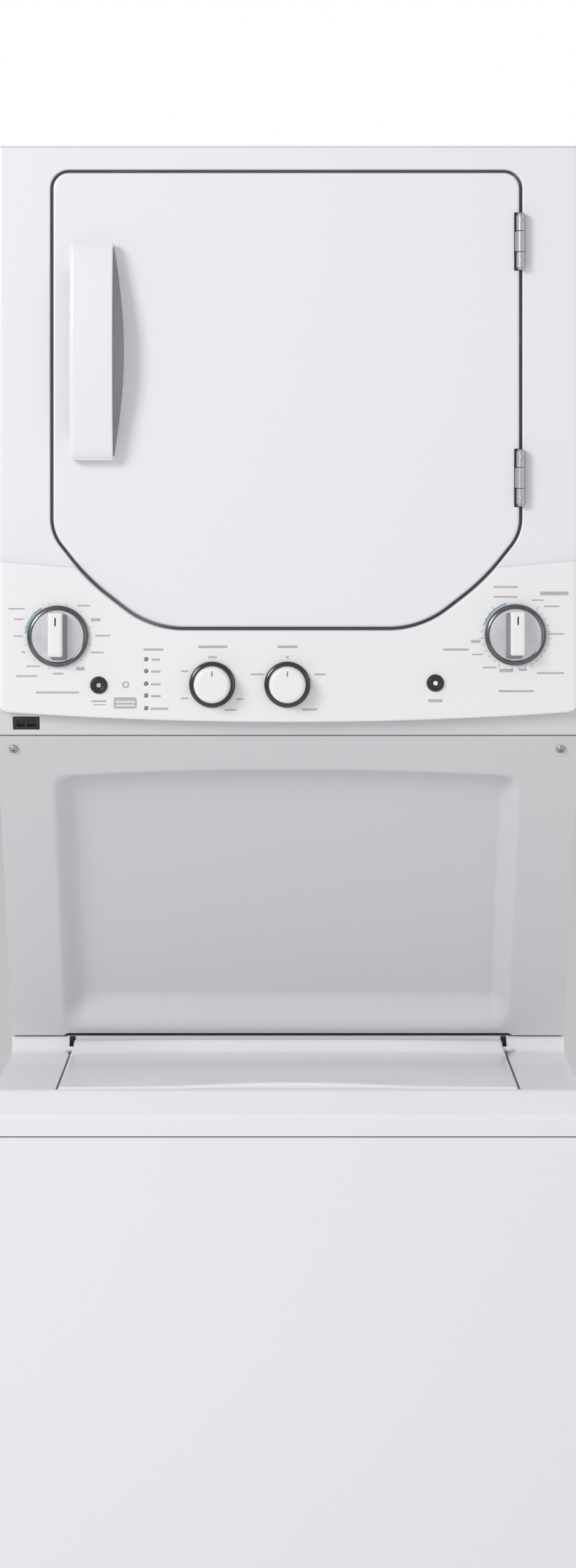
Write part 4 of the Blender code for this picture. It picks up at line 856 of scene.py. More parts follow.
# ------------------------------------------------------------------ knobs
def big_dial(name, node, at):
    x, y0, z = at
    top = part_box(node)[0].y
    skirt = turned("t_skirt", [(0, -0.3525), (0.0350, -0.3525), (0.0357, -0.3530), (0.0357, -0.3552), (0.0352, -0.3566),
                               (0.0341, -0.3580), (0.0326, -0.3589), (0.0312, -0.3592), (0.0305, -0.3589), (0.0303, -0.3580),
                               (0.0290, -0.3575), (0, -0.3575)], "Y", (x, 0, z), 96)
    face = turned("t_face", [(0, -0.3574), (0.0302, -0.3574), (0.0302, -0.3584), (0.0296, -0.3588), (0.0150, -0.3597), (0, -0.3598)],
                  "Y", (x, 0, z), 96)
    z0, z1 = z - 0.0275, z + 0.0285
    inner = 1 if x < 0 else -1
    xa, xb = sorted((x - inner * 0.0108, x + inner * 0.0070))
    flank = []
    for y, d in ((-0.3585, 0.0), (-0.3625, 0.0006), (-0.3690, 0.0026), (-0.3722, 0.0046)):
        fa_, fb_ = sorted((x - inner * 0.0080, x + inner * (0.0115 - d)))
        flank.append([(px, y, pz_) for px, pz_ in rect(fa_, fb_, z0 + d * 0.6, z1 - 0.0030 - d * 0.3, 0.0030, 6)])
    side = loft("t_side", flank)
    rows = []
    for y, dw, dz0, dz1 in ((-0.3585, 0.0, 0.0034, 0.0), (-0.3660, -0.0002, 0.0034, -0.0003), (-0.3735, -0.0004, 0.0038, -0.0008),
                            (-0.3752, -0.0008, 0.0044, -0.0014), (-0.3764, -0.0016, 0.0054, -0.0024), (top + 0.00015, -0.0028, 0.0068, -0.0036),
                            (top, -0.0040, 0.0084, -0.0050)):
        rows.append([(px, y, pz_) for px, pz_ in rect(xa - dw, xb + dw, z0 + dz0, z1 + dz1, 0.0026, 6)])
    grip = loft("t_grip", rows)
    ob = joined(name + "_ring", [skirt, turned("t_spindle", [(0, -0.3530), (0.0030, -0.3530), (0.0030, -0.3270), (0, -0.3270)], "Y", (x, 0, z), 24)])
    # the ring's darkened plating is painted reflection
    piece(ob, "chrome", node, node, angle=30, weight=False, slot="console_plastic")
    piece(joined(name + "_face", [face]), "knob_metal", node, angle=30, weight=False)
    piece(joined(name + "_grip", [grip]), "knob_white", node, angle=35)
    # the grip's inner flank is a dark grey piece: painted shade
    piece(joined(name + "_grip_flank", [side]), "shade", node, angle=35)
    mark = prism(name + "_pointer", rect((xa + xb) / 2 - 0.0008, (xa + xb) / 2 + 0.0008, z + 0.0120, z + 0.0218, 0.0004, 3), "Y", top - 0.00005, top + 0.0006)
    # keep the pointer inside the grip's front plane
    for v in mark.data.vertices:
        v.co.y = max(v.co.y, top)
    piece(mark, "ink_dark", node, weight=False)


def small_dial(name, node, at):
    x, y0, z = at
    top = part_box(node)[0].y
    ring_ = turned("t_ring", [(0, -0.3525), (0.0262, -0.3525), (0.0268, -0.3531), (0.0268, -0.3548), (0.0262, -0.3562), (0.0250, -0.3572),
                              (0.0232, -0.3577), (0.0214, -0.3578), (0, -0.3578)], "Y", (x, 0, z), 96)
    cap = turned("t_cap", [(0, -0.3570), (0.0216, -0.3570), (0.0213, -0.3640), (0.0208, -0.3705), (0.0203, -0.3728), (0.0194, -0.3743),
                           (0.0180, -0.3752), (0.0160, top), (0.0080, top + 0.0006), (0, top + 0.0008)], "Y", (x, 0, z), 96)
    ob = joined(name + "_ring", [ring_, turned("t_spindle", [(0, -0.3530), (0.0030, -0.3530), (0.0030, -0.3270), (0, -0.3270)], "Y", (x, 0, z), 24)])
    piece(ob, "black_chrome", node, node, angle=30, weight=False, slot="console_plastic")
    piece(joined(name + "_cap", [cap]), "knob_white", node, angle=35, weight=False)
    mark = prism(name + "_pointer", rect(x - 0.0007, x + 0.0007, z + 0.0100, z + 0.0165, 0.0004, 3), "Y", top, top + 0.0012)
    piece(mark, "ink_dark", node, weight=False)


big_dial("washer_dial", "washer_cycle_knob", KN["L"])
big_dial("dryer_dial", "dryer_cycle_knob", KN["R"])
small_dial("temperature_dial", "temperature_knob", KN["T"])
small_dial("load_dial", "load_size_knob", KN["S"])

for nm, node, (x, z) in (("washer_start", "washer_start_button", BW), ("dryer_start", "dryer_start_button", BD)):
    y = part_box(node)[0].y
    b = turned(nm + "_cap", [(0, y + 0.0012), (0.0030, y + 0.0011), (0.0055, y + 0.0006), (0.0068, y + 0.0001), (0.0078, y), (0.0086, y + 0.0004),
                             (0.0091, y + 0.0012), (0.0092, y + 0.0095), (0.0030, y + 0.0095), (0.0030, y + 0.0230), (0, y + 0.0230)],
               "Y", (x, 0, z), 64)
    piece(b, "black", node, node, angle=35, weight=False, slot="black_plastic")
    dot = turned(nm + "_mark", [(0, y + 0.0008), (0.0026, y + 0.0008), (0.0026, y + 0.0016), (0, y + 0.0016)], "Y", (x, 0, z), 32)
    piece(dot, "knob_white" if nm.startswith("dryer") else "ink", node, weight=False)

# lamps
strip_ob = block("lamp_strip", (LX - 0.0045, LX + 0.0045), (-0.3485, -0.3440), (la.z, lb.z))
bevel(strip_ob, 0.0008, 2)
piece(strip_ob, "liner", "root", "cycle_status_lights", slot="liner_plastic")
lens = [turned("t_lens%d" % i, [(0, -0.3523), (0.0010, -0.35225), (0.0017, -0.3519), (0.0019, -0.3513), (0.0019, -0.3486), (0, -0.3486)], "Y",
               (LX, 0, z), 24) for i, z in enumerate(LZ)]
piece(joined("lamp_lenses", lens), "lens", "root", weight=False)

# ------------------------------------------------------------------ lower trim and access plug
ta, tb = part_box("console_lower_trim")
prof = rounded([(ta.y, tb.z, 0.0), (ta.y + 0.0022, tb.z, 0.0), (-0.3254, 1.2418, 0.0016), (-0.3140, 1.2418, 0.0), (-0.3140, ta.z, 0.0),
                (-0.3274, ta.z, 0.0022)], 5)
trim = prism("lower_trim", prof, "X", ta.x, tb.x)
cut(trim, block("t_plug_hole", (-0.3205, -0.2895), (-0.36, -0.318), (1.2465, 1.2618)))
bevel(trim, 0.0006, 2, 50)
# the trim's grey moulding is painted shade under the fascia
piece(trim, "trim", "root", "console_lower_trim", slot="trim_grey")
pa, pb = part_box("access_plug")
plug_profile = [(-0.3363, 1.2613), (-0.3302, 1.2470), (-0.3245, 1.2470), (-0.3306, 1.2613)]
ap = prism("access_cover", plug_profile, "X", pa.x, pb.x)
sl = Vector((-0.3302 + 0.3363, 1.2470 - 1.2613)).normalized()
nr = Vector((-sl.y, sl.x))
for i, (s0, s1, x0, x1) in enumerate(((0.0035, 0.0118, pa.x + 0.004, pa.x + 0.0135), (0.0035, 0.0118, pa.x + 0.0165, pb.x - 0.004))):
    base = Vector((-0.3363, 1.2613))
    q0, q1 = base + sl * s0, base + sl * s1
    inward = Vector((abs(nr.x), 0))
    cut(ap, prism("t_cell", [tuple(q0 - inward * 0.004), tuple(q1 - inward * 0.004), tuple(q1 + inward * 0.0035), tuple(q0 + inward * 0.0035)], "X", x0, x1))
bevel(ap, 0.0004, 2, 40)
piece(ap, "black", "root", "access_plug", slot="black_plastic")

# ------------------------------------------------------------------ dished recess panel
REC_TOP, REC_BOT, DISH = Vector((0, -0.324, 1.2365)), Vector((0, -0.040, 0.8560)), 0.018
SL = (REC_BOT - REC_TOP).length
SD = (REC_BOT - REC_TOP).normalized()
SN = Vector((0, -SD.z, SD.y))
if SN.y < 0:
    SN = -SN


def on_slope(t, depth=0.0, x=0.0):
    return REC_TOP + Vector((x, 0, 0)) + SD * (SL * t) + SN * depth


def dish(x, t):
    side_l = step(x, -0.278, -0.250)
    side_r = step(0.274 - x, 0.0, 0.026)
    top_line = 0.098 + 0.022 * (x / 0.27) ** 2
    return DISH * side_l * side_r * step(t, top_line, top_line + 0.050) * step(0.985 - t, 0.0, 0.100)


def spread(lo, hi, dense_spans, coarse, fine):
    out, x = [lo], lo
    while x < hi - 1e-9:
        s = fine if any(a - fine <= x <= b for a, b in dense_spans) else coarse
        x = min(hi, x + s)
        out.append(x)
    if out[-1] - out[-2] < fine * 0.3:
        out.pop(-2)
    return out


pa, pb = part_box("recess_panel")
gx = spread(pa.x, pb.x, ((-0.282, -0.246), (0.244, 0.278)), 0.012, 0.0018)
gt = spread(0.0, 1.0, ((0.090, 0.180), (0.875, 0.992)), 0.02, 0.0036)
bm = bmesh.new()
foot = {x: 0.0072 * step(abs(x), 0.2710, 0.2775) for x in gx}
grid = [[bm.verts.new(on_slope(t + (foot[x] if t > 0.999 else 0.0) - (0.0040 if t < 0.001 else 0.0), dish(x, t), x)) for x in gx]
        for t in gt]
for i in range(len(gt) - 1):
    for k in range(len(gx) - 1):
        bm.faces.new((grid[i][k], grid[i][k + 1], grid[i + 1][k + 1], grid[i + 1][k]))
rec = new_object("recess_shell", bm)
if sum(p.normal.dot(SN) * p.area for p in rec.data.polygons) > 0:
    rec.data.flip_normals()
thicken(rec, 0.0022)
tilt = Vector((0, 0, 1)).rotation_difference(-SN).to_matrix().to_4x4()
screws = {}
for nm in ("left", "right"):
    sa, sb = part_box("recess_screw_" + nm)
    x = (sa.x + sb.x) / 2
    base_p = on_slope(0.035, 0.0, x)
    c = turned("t_rh", [(0, -0.01), (0.0026, -0.01), (0.0026, 0.01), (0, 0.01)], "Z", (0, 0, 0), 24)
    c.data.transform(Matrix.Translation(base_p) @ tilt)
    cut(rec, c)
    s = turned("panel_screw_" + nm, [(0, -0.0085), (0.0019, -0.0085), (0.0019, 0.0003), (0.0055, 0.0003), (0.0056, 0.0010), (0.0052, 0.0019),
                                     (0.0040, 0.0028), (0.0022, 0.0033), (0, 0.0034)], "Z", (0, 0, 0), 40)
    cross = [block("t_c0", (-0.0005, 0.0005), (-0.0028, 0.0028), (0.0016, 0.006)), block("t_c1", (-0.0028, 0.0028), (-0.0005, 0.0005), (0.0016, 0.006))]
    cut(s, *cross)
    s.data.transform(Matrix.Translation(base_p) @ tilt)
    piece(s, "screw", "root", "recess_screw_" + nm, angle=35, slot="silver", weight=False)
# the recess panel takes the darker enamel as painted shade
piece(rec, "grey_enamel", "root", "recess_panel", angle=60, slot="enamel_grey")

# ------------------------------------------------------------------ washer deck
ka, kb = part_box("washer_top_cover")
YF, YR = ka.y, kb.y
prof = rounded([(YF, ka.z, 0.0), (YR, ka.z, 0.0), (YR, kb.z, 0.0015), (-0.0330, kb.z, 0.0070), (-0.0490, 0.8320, 0.0190),
                (-0.3728, 0.8320, 0.0110), (-0.3978, 0.8078, 0.0055), (YF, 0.8020, 0.0040)], 10)
deck = prism("washer_deck", prof, "X", -HW - 0.01, HW + 0.01)
keep(deck, prism("t_plan", rounded([(-HW, YF, 0.008), (HW, YF, 0.008), (HW, YR, 0.0), (-HW, YR, 0.0)], 12), "Z", 0.70, 0.95))
hollow = prism("t_hollow", rounded([(YF + 0.0020, 0.770, 0.0), (YR - 0.002, 0.770, 0.0), (YR - 0.002, kb.z - 0.0025, 0.0), (-0.0315, kb.z - 0.0025, 0.004),
                                    (-0.0470, 0.8295, 0.015), (-0.3717, 0.8295, 0.010), (-0.3958, 0.8065, 0.004), (YF + 0.0020, 0.8015, 0.003)], 6),
               "X", -HW + 0.002, HW - 0.002)
cut(deck, hollow)
fuse(deck, block("t_tray", (-0.2722, 0.2722), (-0.3720, -0.0318), (0.8165, 0.8312)),
     block("t_trayback", (-0.2722, 0.2722), (-0.0349, -0.0318), (0.8165, 0.8520)))
cut(deck, prism("t_pocket", [(x, y) for x, y in rounded([(-0.2695, -0.3692, 0.005), (0.2695, -0.3692, 0.005), (0.2695, -0.0345, 0.0015),
                                                       (-0.2695, -0.0345, 0.0015)], 6)], "Z", 0.8190, 0.90))
cut(deck, prism("t_open", rounded([(-0.245, -0.350, 0.03), (0.245, -0.350, 0.03), (0.245, -0.080, 0.03), (-0.245, -0.080, 0.03)], 12), "Z",
                0.80, 0.86))
LX0, LY0, LZ0 = JOINT["washer_lid_hinge"]["pos_m"]
for i, s in enumerate((-1, 1)):
    cut(deck, turned("t_pin%d" % i, [(0, s * 0.2660), (0.0036, s * 0.2660), (0.0036, s * 0.2760), (0, s * 0.2760)], "X", (0, LY0, LZ0), 24))
bevel(deck, 0.0007, 2, 40)
piece(deck, "enamel", "root", "washer_top_cover", angle=45, slot="enamel_white")

# lid: a crowned pan with rolled edges, a lifted finger lip and a rear upstand
la_, lb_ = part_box("washer_lid")
LHX, y0, y1 = 0.2668, la_.y, lb_.y
ztop = 0.8345


def lid_top(x, y):
    u = abs(x) / LHX
    depth = 0.0215 + 0.030 * step(u, 0.45, 1.0)
    rise = 0.0143 * step(y, y1 - 0.001 - depth, y1 - 0.0015) ** 1.35
    lip = 0.0040 * step(0.165 - abs(x - 0.008), 0.0, 0.150) * step(y1 - y, 0.255, y1 - y0 - 0.002)
    crown = 0.0012 * (1 - u * u)
    return ztop + rise + lip + crown * step(y1 - y, 0.02, 0.06)


gx = spread(-LHX + 0.0035, LHX - 0.0035, (), 0.0085, 0.0085)
gy = spread(y0 + 0.0040, y1 - 0.0012, ((y1 - 0.055, y1),), 0.0085, 0.0012)
bm = bmesh.new()
top_rows = []
for y in gy:
    top_rows.append([(x, y, lid_top(x, y)) for x in gx])
# side rolls
full = []
for row in top_rows:
    y = row[0][1]
    left_pts, right_pts = [], []
    for t in (90, 72, 54, 36, 18):
        c_, s_ = math.cos(math.radians(t)), math.sin(math.radians(t))
        left_pts.append((row[0][0] - 0.0035 * s_, y, row[0][2] - 0.0035 * (1 - c_)))
        right_pts.append((row[-1][0] + 0.0035 * s_, y, row[-1][2] - 0.0035 * (1 - c_)))
    skirt_l = [(row[0][0] - 0.0035, y, 0.8200)]
    skirt_r = [(row[-1][0] + 0.0035, y, 0.8200)]
    full.append(skirt_l + left_pts + row + right_pts[::-1] + skirt_r)
# front roll
front_rows = []
base = full[0]
for t in (18, 36, 54, 72, 90):
    c_, s_ = math.cos(math.radians(t)), math.sin(math.radians(t))
    front_rows.append([(p[0], y0 + 0.0040 - 0.0040 * s_, max(0.8200, p[2] - 0.0040 * (1 - c_))) for p in base])
lift = [0.0030 * step(0.165 - abs(p[0] - 0.008), 0.0, 0.150) for p in base]
front_rows.append([(p[0], y0, min(front_rows[-1][i][2], 0.8262 + lift[i])) for i, p in enumerate(base)])
front_rows.append([(p[0], y0 + 0.0012, min(front_rows[-1][i][2], 0.8256 + lift[i])) for i, p in enumerate(base)])
full = front_rows[::-1] + full
# rear edge
last = full[-1]
full.append([(p[0], y1 - 0.0003, p[2] - 0.0004 if p[2] > 0.8205 else p[2]) for p in last])
full.append([(p[0], y1, p[2] - 0.0012 if p[2] > 0.8215 else p[2]) for p in last])
full.append([(p[0], y1 - 0.0006, min(p[2], 0.8300)) for p in last])
full = [[(p[0] * (1 - 0.0125 * step(p[1], y1 - 0.040, y1 - 0.014)), p[1], p[2]) for p in row] for row in full]
vs = [[bm.verts.new(p) for p in row] for row in full]
for i in range(len(full) - 1):
    for k in range(len(full[0]) - 1):
        bm.faces.new((vs[i][k], vs[i][k + 1], vs[i + 1][k + 1], vs[i + 1][k]))
lid = new_object("lid_pan", bm, 1e-7)
if sum(p.normal.z * p.area for p in lid.data.polygons) < 0:
    lid.data.flip_normals()
thicken(lid, 0.0012, even=False)
pins = [turned("t_lp%d" % i, [(0, s * 0.2640), (0.0033, s * 0.2640), (0.0033, s * 0.2735), (0.0028, s * 0.2742), (0, s * 0.2742)], "X",
               (0, LY0, LZ0), 32) for i, s in enumerate((-1, 1))]
lid = joined("lid_pan_with_pins", [lid, *pins])
piece(lid, "enamel", "washer_lid", "washer_lid", angle=50, slot="enamel_white")

# the hinge wells are near-black sheets: painted shade in the pockets behind the lid's pins
for nm, sgn in (("left", -1), ("right", 1)):
    xa, xb = sorted((sgn * 0.2622, sgn * 0.2690))
    piece(prism("hinge_well_" + nm, rect(xa, xb, 0.8345, 0.8518, 0.0010, 3), "Y", -0.0356, -0.0349), "void", "root", weight=False)

# ------------------------------------------------------------------ washer front panel
wa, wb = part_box("washer_front_panel")
R8 = 0.008
outer = rounded([(-HW, wb.y, 0.0), (-HW, wa.y, R8), (HW, wa.y, R8), (HW, wb.y, 0.0)], 12)
bm = bmesh.new()
zs = [(wa.z, 0.0012, 0.0), (wa.z, 0.0004, 0.0), (wa.z + 0.0004, 0.0, 0.0), (wa.z + 0.0012, 0.0, 0.0), (wb.z - 0.0046, 0.0, 0.0),
      (wb.z - 0.0033, 0.0003, 0.0), (wb.z - 0.0021, 0.0011, 0.0), (wb.z - 0.0010, 0.0025, 0.0), (wb.z - 0.0003, 0.0042, 0.0), (wb.z, 0.0062, 0.0), (wb.z, 0.0120, 0.0)]
rows = []
ccw = outer
for z, ins, _ in zs:
    pts = []
    for x, y in ccw:
        pts.append((x * (1 - ins / HW), min(y + ins, wb.y), z))
    rows.append(pts)
vs = [[bm.verts.new(p) for p in row] for row in rows]
for i in range(len(rows) - 1):
    for k in range(len(rows[0]) - 1):
        bm.faces.new((vs[i][k], vs[i][k + 1], vs[i + 1][k + 1], vs[i + 1][k]))
wf = new_object("washer_front_shell", bm, 1e-7)
if sum(p.normal.y * p.area for p in wf.data.polygons) > 0:
    wf.data.flip_normals()
thicken(wf, 0.0012)
piece(wf, "enamel", "root", "washer_front_panel", angle=50, slot="enamel_white")

# ------------------------------------------------------------------ top, sides, cabinet wrap, rear
refined("top_cover_panel", "top_panel", "enamel", "root", 0.0006, 3, slot="enamel_white")
for s in ("left", "right"):
    refined(s + "_side_sheet", s + "_side_panel", "enamel", "root", 0.0006, 3, slot="enamel_white")
refined("cabinet_wrap", "washer_cabinet", "enamel", "root", 0.0005, 2, slot="enamel_white")
refined("base_pan", "base_frame", "galvanised", "root", 0.0008, 2, slot="steel")

ra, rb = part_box("rear_panel")
ex, ez = -0.060, 1.186
rear = refined("rear_sheet_panel", "rear_panel", "rear_sheet", "root", 0.0005, 2, slot="enamel_grey")
# pressed stiffening ribs, a row of vent louvres and screws
ry = 0.370
ribs = []
for z in (1.36, 1.52, 1.68, 1.84):
    prof = [(ry - 0.0003, z - 0.009), (ry + 0.0012, z - 0.0065), (ry + 0.0022, z - 0.003), (ry + 0.0024, z), (ry + 0.0022, z + 0.003),
            (ry + 0.0012, z + 0.0065), (ry - 0.0003, z + 0.009)]
    rib = prism("t_rib", prof, "X", -0.27, 0.27)
    bevel(rib, 0.002, 3, 60)
    ribs.append(rib)
piece(joined("rear_ribs", ribs), "rear_sheet", "root", angle=50)
louvres = []
for i in range(9):
    z = 0.925 + 0.016 * i
    prof = [(ry - 0.0002, z), (ry + 0.0045, z + 0.0022), (ry + 0.0050, z + 0.0034), (ry + 0.0030, z + 0.0070), (ry - 0.0002, z + 0.0092)]
    lv = prism("t_lv", prof, "X", -0.250, -0.090)
    bevel(lv, 0.0008, 2, 50)
    louvres.append(lv)
piece(joined("rear_louvres", louvres), "rear_sheet", "root", angle=50)
sc = []
spots = [(x, z) for z in (0.868, 1.12, 1.44, 1.76, 1.912) for x in (-0.328, 0.328)] + [(x, z) for z in (0.868, 1.912) for x in (-0.11, 0.11)]
for x, z in spots:
    s = turned("t_s", [(0, 0.0), (0.0052, 0.0), (0.0052, 0.0008), (0.0038, 0.0022), (0.0020, 0.0028), (0, 0.0029)], "Y", (x, ry - 0.0002, z), 24)
    hexh = prism("t_h", [(x + 0.0036 * math.cos(math.radians(60 * k)), z + 0.0036 * math.sin(math.radians(60 * k))) for k in range(6)], "Y",
                 ry + 0.0018, ry + 0.0044)
    sc += [s, hexh]
piece(joined("rear_screws", sc), "screw", "root", angle=35, weight=False)
# brass inlet threads and a collar bead
va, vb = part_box("water_inlet_valve")
th = []
for x in (0.215, 0.265):
    for k in range(5):
        y = 0.3735 + 0.0034 * k
        th.append(turned("t_th", [(0.0128, y), (0.0136, y + 0.0006), (0.0138, y + 0.0011), (0.0136, y + 0.0016), (0.0128, y + 0.0022)], "Y",
                         (x, 0, 0.680), 48))
piece(joined("inlet_threads", th), "brass", "root", angle=60, weight=False)
bead = turned("exhaust_bead", [(0.0507, 0.3790), (0.0516, 0.3796), (0.0520, 0.3806), (0.0516, 0.3816), (0.0507, 0.3822)], "Y", (ex, 0, ez), 96)
piece(bead, "galvanised", "root", angle=60, weight=False)

# ------------------------------------------------------------------ feet
for nm in ("front_left", "front_right", "rear_left", "rear_right"):
    a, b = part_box("leveling_foot_" + nm)
    x, y = (a.x + b.x) / 2, (a.y + b.y) / 2
    f = turned("t_f", [(0, 0), (0.0195, 0), (0.0212, 0.0006), (0.0220, 0.0022), (0.0220, 0.0085), (0.0212, 0.0100), (0.0150, 0.0118), (0.0110, 0.0130),
                       (0.0108, 0.0150), (0, 0.0150)], "Z", (x, y, 0), 48)
    stud = [(0, 0.0140), (0.0046, 0.0140)]
    for k in range(14):
        z = 0.0200 + 0.0017 * k
        stud += [(0.0044, z), (0.0050, z + 0.0008)]
    stud += [(0.0044, 0.0438), (0, 0.0440)]
    st = turned("t_st", stud, "Z", (x, y, 0), 32)
    nut = prism("t_n", [(x + 0.0108 * math.cos(math.radians(60 * k)), y + 0.0108 * math.sin(math.radians(60 * k))) for k in range(6)], "Z", 0.0140, 0.0194)
    bevel(nut, 0.0008, 2, 40)
    piece(joined("foot_pad_" + nm, [f]), "rubber", "root", "leveling_foot_" + nm, angle=35, slot="rubber", weight=False)
    piece(joined("foot_stud_" + nm, [st, nut]), "screw", "root", angle=35, weight=False)


# ------------------------------------------------------------------ dryer inside
def perforated(name, f, nu, nv, r, wrap=True, skip=None):
    """A sheet of nu by nv cells, each with a round hole of radius r cells. f maps cell coordinates to a point."""
    bm = bmesh.new()
    ring8 = [(0.5, 0), (0.5, 0.5), (0, 0.5), (-0.5, 0.5), (-0.5, 0), (-0.5, -0.5), (0, -0.5), (0.5, -0.5)]
    for i in range(nu):
        for j in range(nv):
            c = (i + 0.5, j + 0.5)
            solid = skip and skip(i, j)
            o = [bm.verts.new(f(c[0] + a, c[1] + b)) for a, b in ring8]
            if solid:
                bm.faces.new(o)
                continue
            h = [bm.verts.new(f(c[0] + r[0] * math.cos(math.radians(45 * k)), c[1] + r[1] * math.sin(math.radians(45 * k)))) for k in range(8)]
            for k in range(8):
                n = (k + 1) % 8
                bm.faces.new((o[k], o[n], h[n], h[k]))
    return new_object(name, bm, 2e-5)


DZ = JOINT["drum_spin"]["pos_m"][2]
drum = turned("drum_barrel", [(0.0, 0.2880), (0.290, 0.2880), (0.2945, 0.2862), (0.2972, 0.2830), (0.298, 0.279), (0.298, 0.2005), (0.298, -0.2600), (0.2962, -0.2665),
                              (0.2925, -0.2705), (0.288, -0.2720), (0.2262, -0.2720), (0.2250, -0.2714), (0.2250, -0.2701), (0.2262, -0.2695),
                              (0.2860, -0.2695), (0.2918, -0.2668), (0.2945, -0.2635), (0.2955, -0.2590), (0.2955, -0.240), (0.2955, 0.277), (0.2945, 0.281),
                              (0.2918, 0.2840), (0.288, 0.2850), (0.2600, 0.2850), (0.2550, 0.2835), (0.2500, 0.2850), (0.0900, 0.2850), (0.0850, 0.2832),
                              (0.0800, 0.2850), (0.0, 0.2850)], "Y", (0, 0, DZ), 128)
hub = turned("t_hub", [(0, 0.2870), (0.045, 0.2870), (0.045, 0.2920), (0.0125, 0.2940), (0.0125, 0.3600), (0, 0.3600)], "Y", (0, 0, DZ), 48)
piece(joined("drum_barrel_with_hub", [drum, hub]), "enamel_in", "dryer_drum", "dryer_drum", angle=35, slot="steel", weight=False)
# perforated heat inlet ring, standing just in front of the drum's rear wall
nu, nv = 66, 7
pr0, pr1 = 0.110, 0.235


def polar(u, v):
    t = 2 * math.pi * u / nu
    r_ = pr0 + (pr1 - pr0) * v / nv
    return (r_ * math.cos(t), 0.2843, DZ + r_ * math.sin(t))


perf = perforated("drum_heat_inlet", polar, nu, nv, (0.30, 0.24), skip=lambda i, j: i % 22 < 2)
if sum(p.normal.y * p.area for p in perf.data.polygons) > 0:
    perf.data.flip_normals()
thicken(perf, 0.0006, 1.0)
piece(perf, "enamel_in", "dryer_drum", angle=30, weight=False)
# a near-black disc behind the perforated ring: painted shade seen through the holes
back = turned("drum_heat_inlet_back", [(0.1101, 0.28455), (0.2349, 0.28455), (0.2349, 0.2848), (0.1101, 0.2848)], "Y", (0, 0, DZ), 96)
piece(back, "void", "dryer_drum", weight=False)
vanes = []
for i in range(3):
    t = math.radians(90 + 120 * i)
    d, e = Vector((math.cos(t), math.sin(t))), Vector((-math.sin(t), math.cos(t)))
    c = Vector((0, DZ))
    rows = []
    ys = [-0.245, -0.2445, -0.242, -0.236, -0.226, -0.20, -0.10, 0.0, 0.10, 0.20, 0.262, 0.272, 0.280, 0.2843]
    for y in ys:
        k = min(1.0, max(0.0, (y + 0.2455) / 0.032)) ** 0.45 if y < -0.2 else (1.0 if y < 0.262 else max(0.0, 1 - ((y - 0.262) / 0.0225) ** 2) ** 0.5 * 0.25 + 0.75)
        h = 0.2955 - (0.2955 - 0.232) * k
        pts = []
        for q in range(17):
            s = q / 16 * 2 - 1
            w = 0.034 * s
            prof_h = (1 - abs(s) ** 2.6)
            sharp = math.exp(-(abs(s) / 0.42) ** 2.2)
            rr = 0.2950 - (0.2950 - h) * (0.30 * prof_h + 0.70 * sharp)
            pp = c + d * rr + e * (w * (1.0 if abs(s) > 0.6 else 1.0))
            pts.append((pp.x, y, pp.y))
        base_l = c + d * 0.2953 + e * 0.034
        base_r = c + d * 0.2953 - e * 0.034
        pts += [(base_l.x, y, base_l.y), ((c + d * 0.2962).x, y, (c + d * 0.2962).y), (base_r.x, y, base_r.y)]
        rows.append(pts)
    vanes.append(loft("t_vane%d" % i, rows))
piece(joined("drum_baffles", vanes), "enamel_in", "dryer_drum", angle=50, weight=False)
# lint filter with a mesh and a finger grip
fa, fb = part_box("lint_filter")
refined("lint_screen_frame", "lint_filter", "liner", "lint_filter", 0.0006, 2, slot="liner_plastic")
bars = []
for k in range(15):
    x = -0.070 + 0.010 * k
    bars.append(block("t_b", (x - 0.0005, x + 0.0005), (-0.2975, -0.2967), (1.2665, 1.3895)))
for k in range(12):
    z = 1.272 + 0.0103 * k
    bars.append(block("t_b", (-0.0775, 0.0775), (-0.2970, -0.2962), (z - 0.0005, z + 0.0005)))
piece(joined("lint_screen_mesh", bars), "liner", "lint_filter", weight=False)

# ------------------------------------------------------------------ washer inside
TY = JOINT["basket_spin"]["pos_m"][1]
nu, nv = 84, 17
bz0, bz1, br = 0.2400, 0.6560, 0.2800


def wall(u, v):
    t = 2 * math.pi * u / nu
    return (br * math.cos(t), TY + br * math.sin(t), bz0 + (bz1 - bz0) * v / nv)


bw = perforated("basket_wall", wall, nu, nv, (0.14, 0.12), skip=lambda i, j: (i % 14) < 2)
if sum(Vector((p.center.x, p.center.y - TY, 0)).dot(p.normal) * p.area for p in bw.data.polygons) > 0:
    bw.data.flip_normals()
thicken(bw, 0.0012)
floor_ = turned("t_bfloor", [(0.0110, 0.150), (0.0160, 0.150), (0.0160, 0.2055), (0.060, 0.2115), (0.255, 0.2155), (0.2680, 0.2190), (0.2775, 0.2270),
                             (0.2818, 0.2360), (0.2818, 0.2405), (0.2795, 0.2405), (0.2792, 0.2375), (0.2755, 0.2290), (0.2670, 0.2215), (0.2550, 0.2182), (0.0110, 0.2182)],
                "Z", (0, TY, 0), 120)
piece(joined("basket_shell", [bw, floor_]), "steel", "wash_basket", "wash_basket", angle=35, slot="steel", weight=False)
balance = turned("balance_ring", [(0.2795, 0.6550), (0.2820, 0.6550), (0.2820, 0.6905), (0.2800, 0.6932), (0.2770, 0.6940), (0.2500, 0.6940), (0.2440, 0.6930), (0.2410, 0.6900),
                                  (0.2402, 0.6870), (0.2402, 0.6680), (0.2412, 0.6652), (0.2440, 0.6636), (0.2790, 0.6590)], "Z", (0, TY, 0), 120)
piece(balance, "agitator", "wash_basket", angle=40, weight=False)

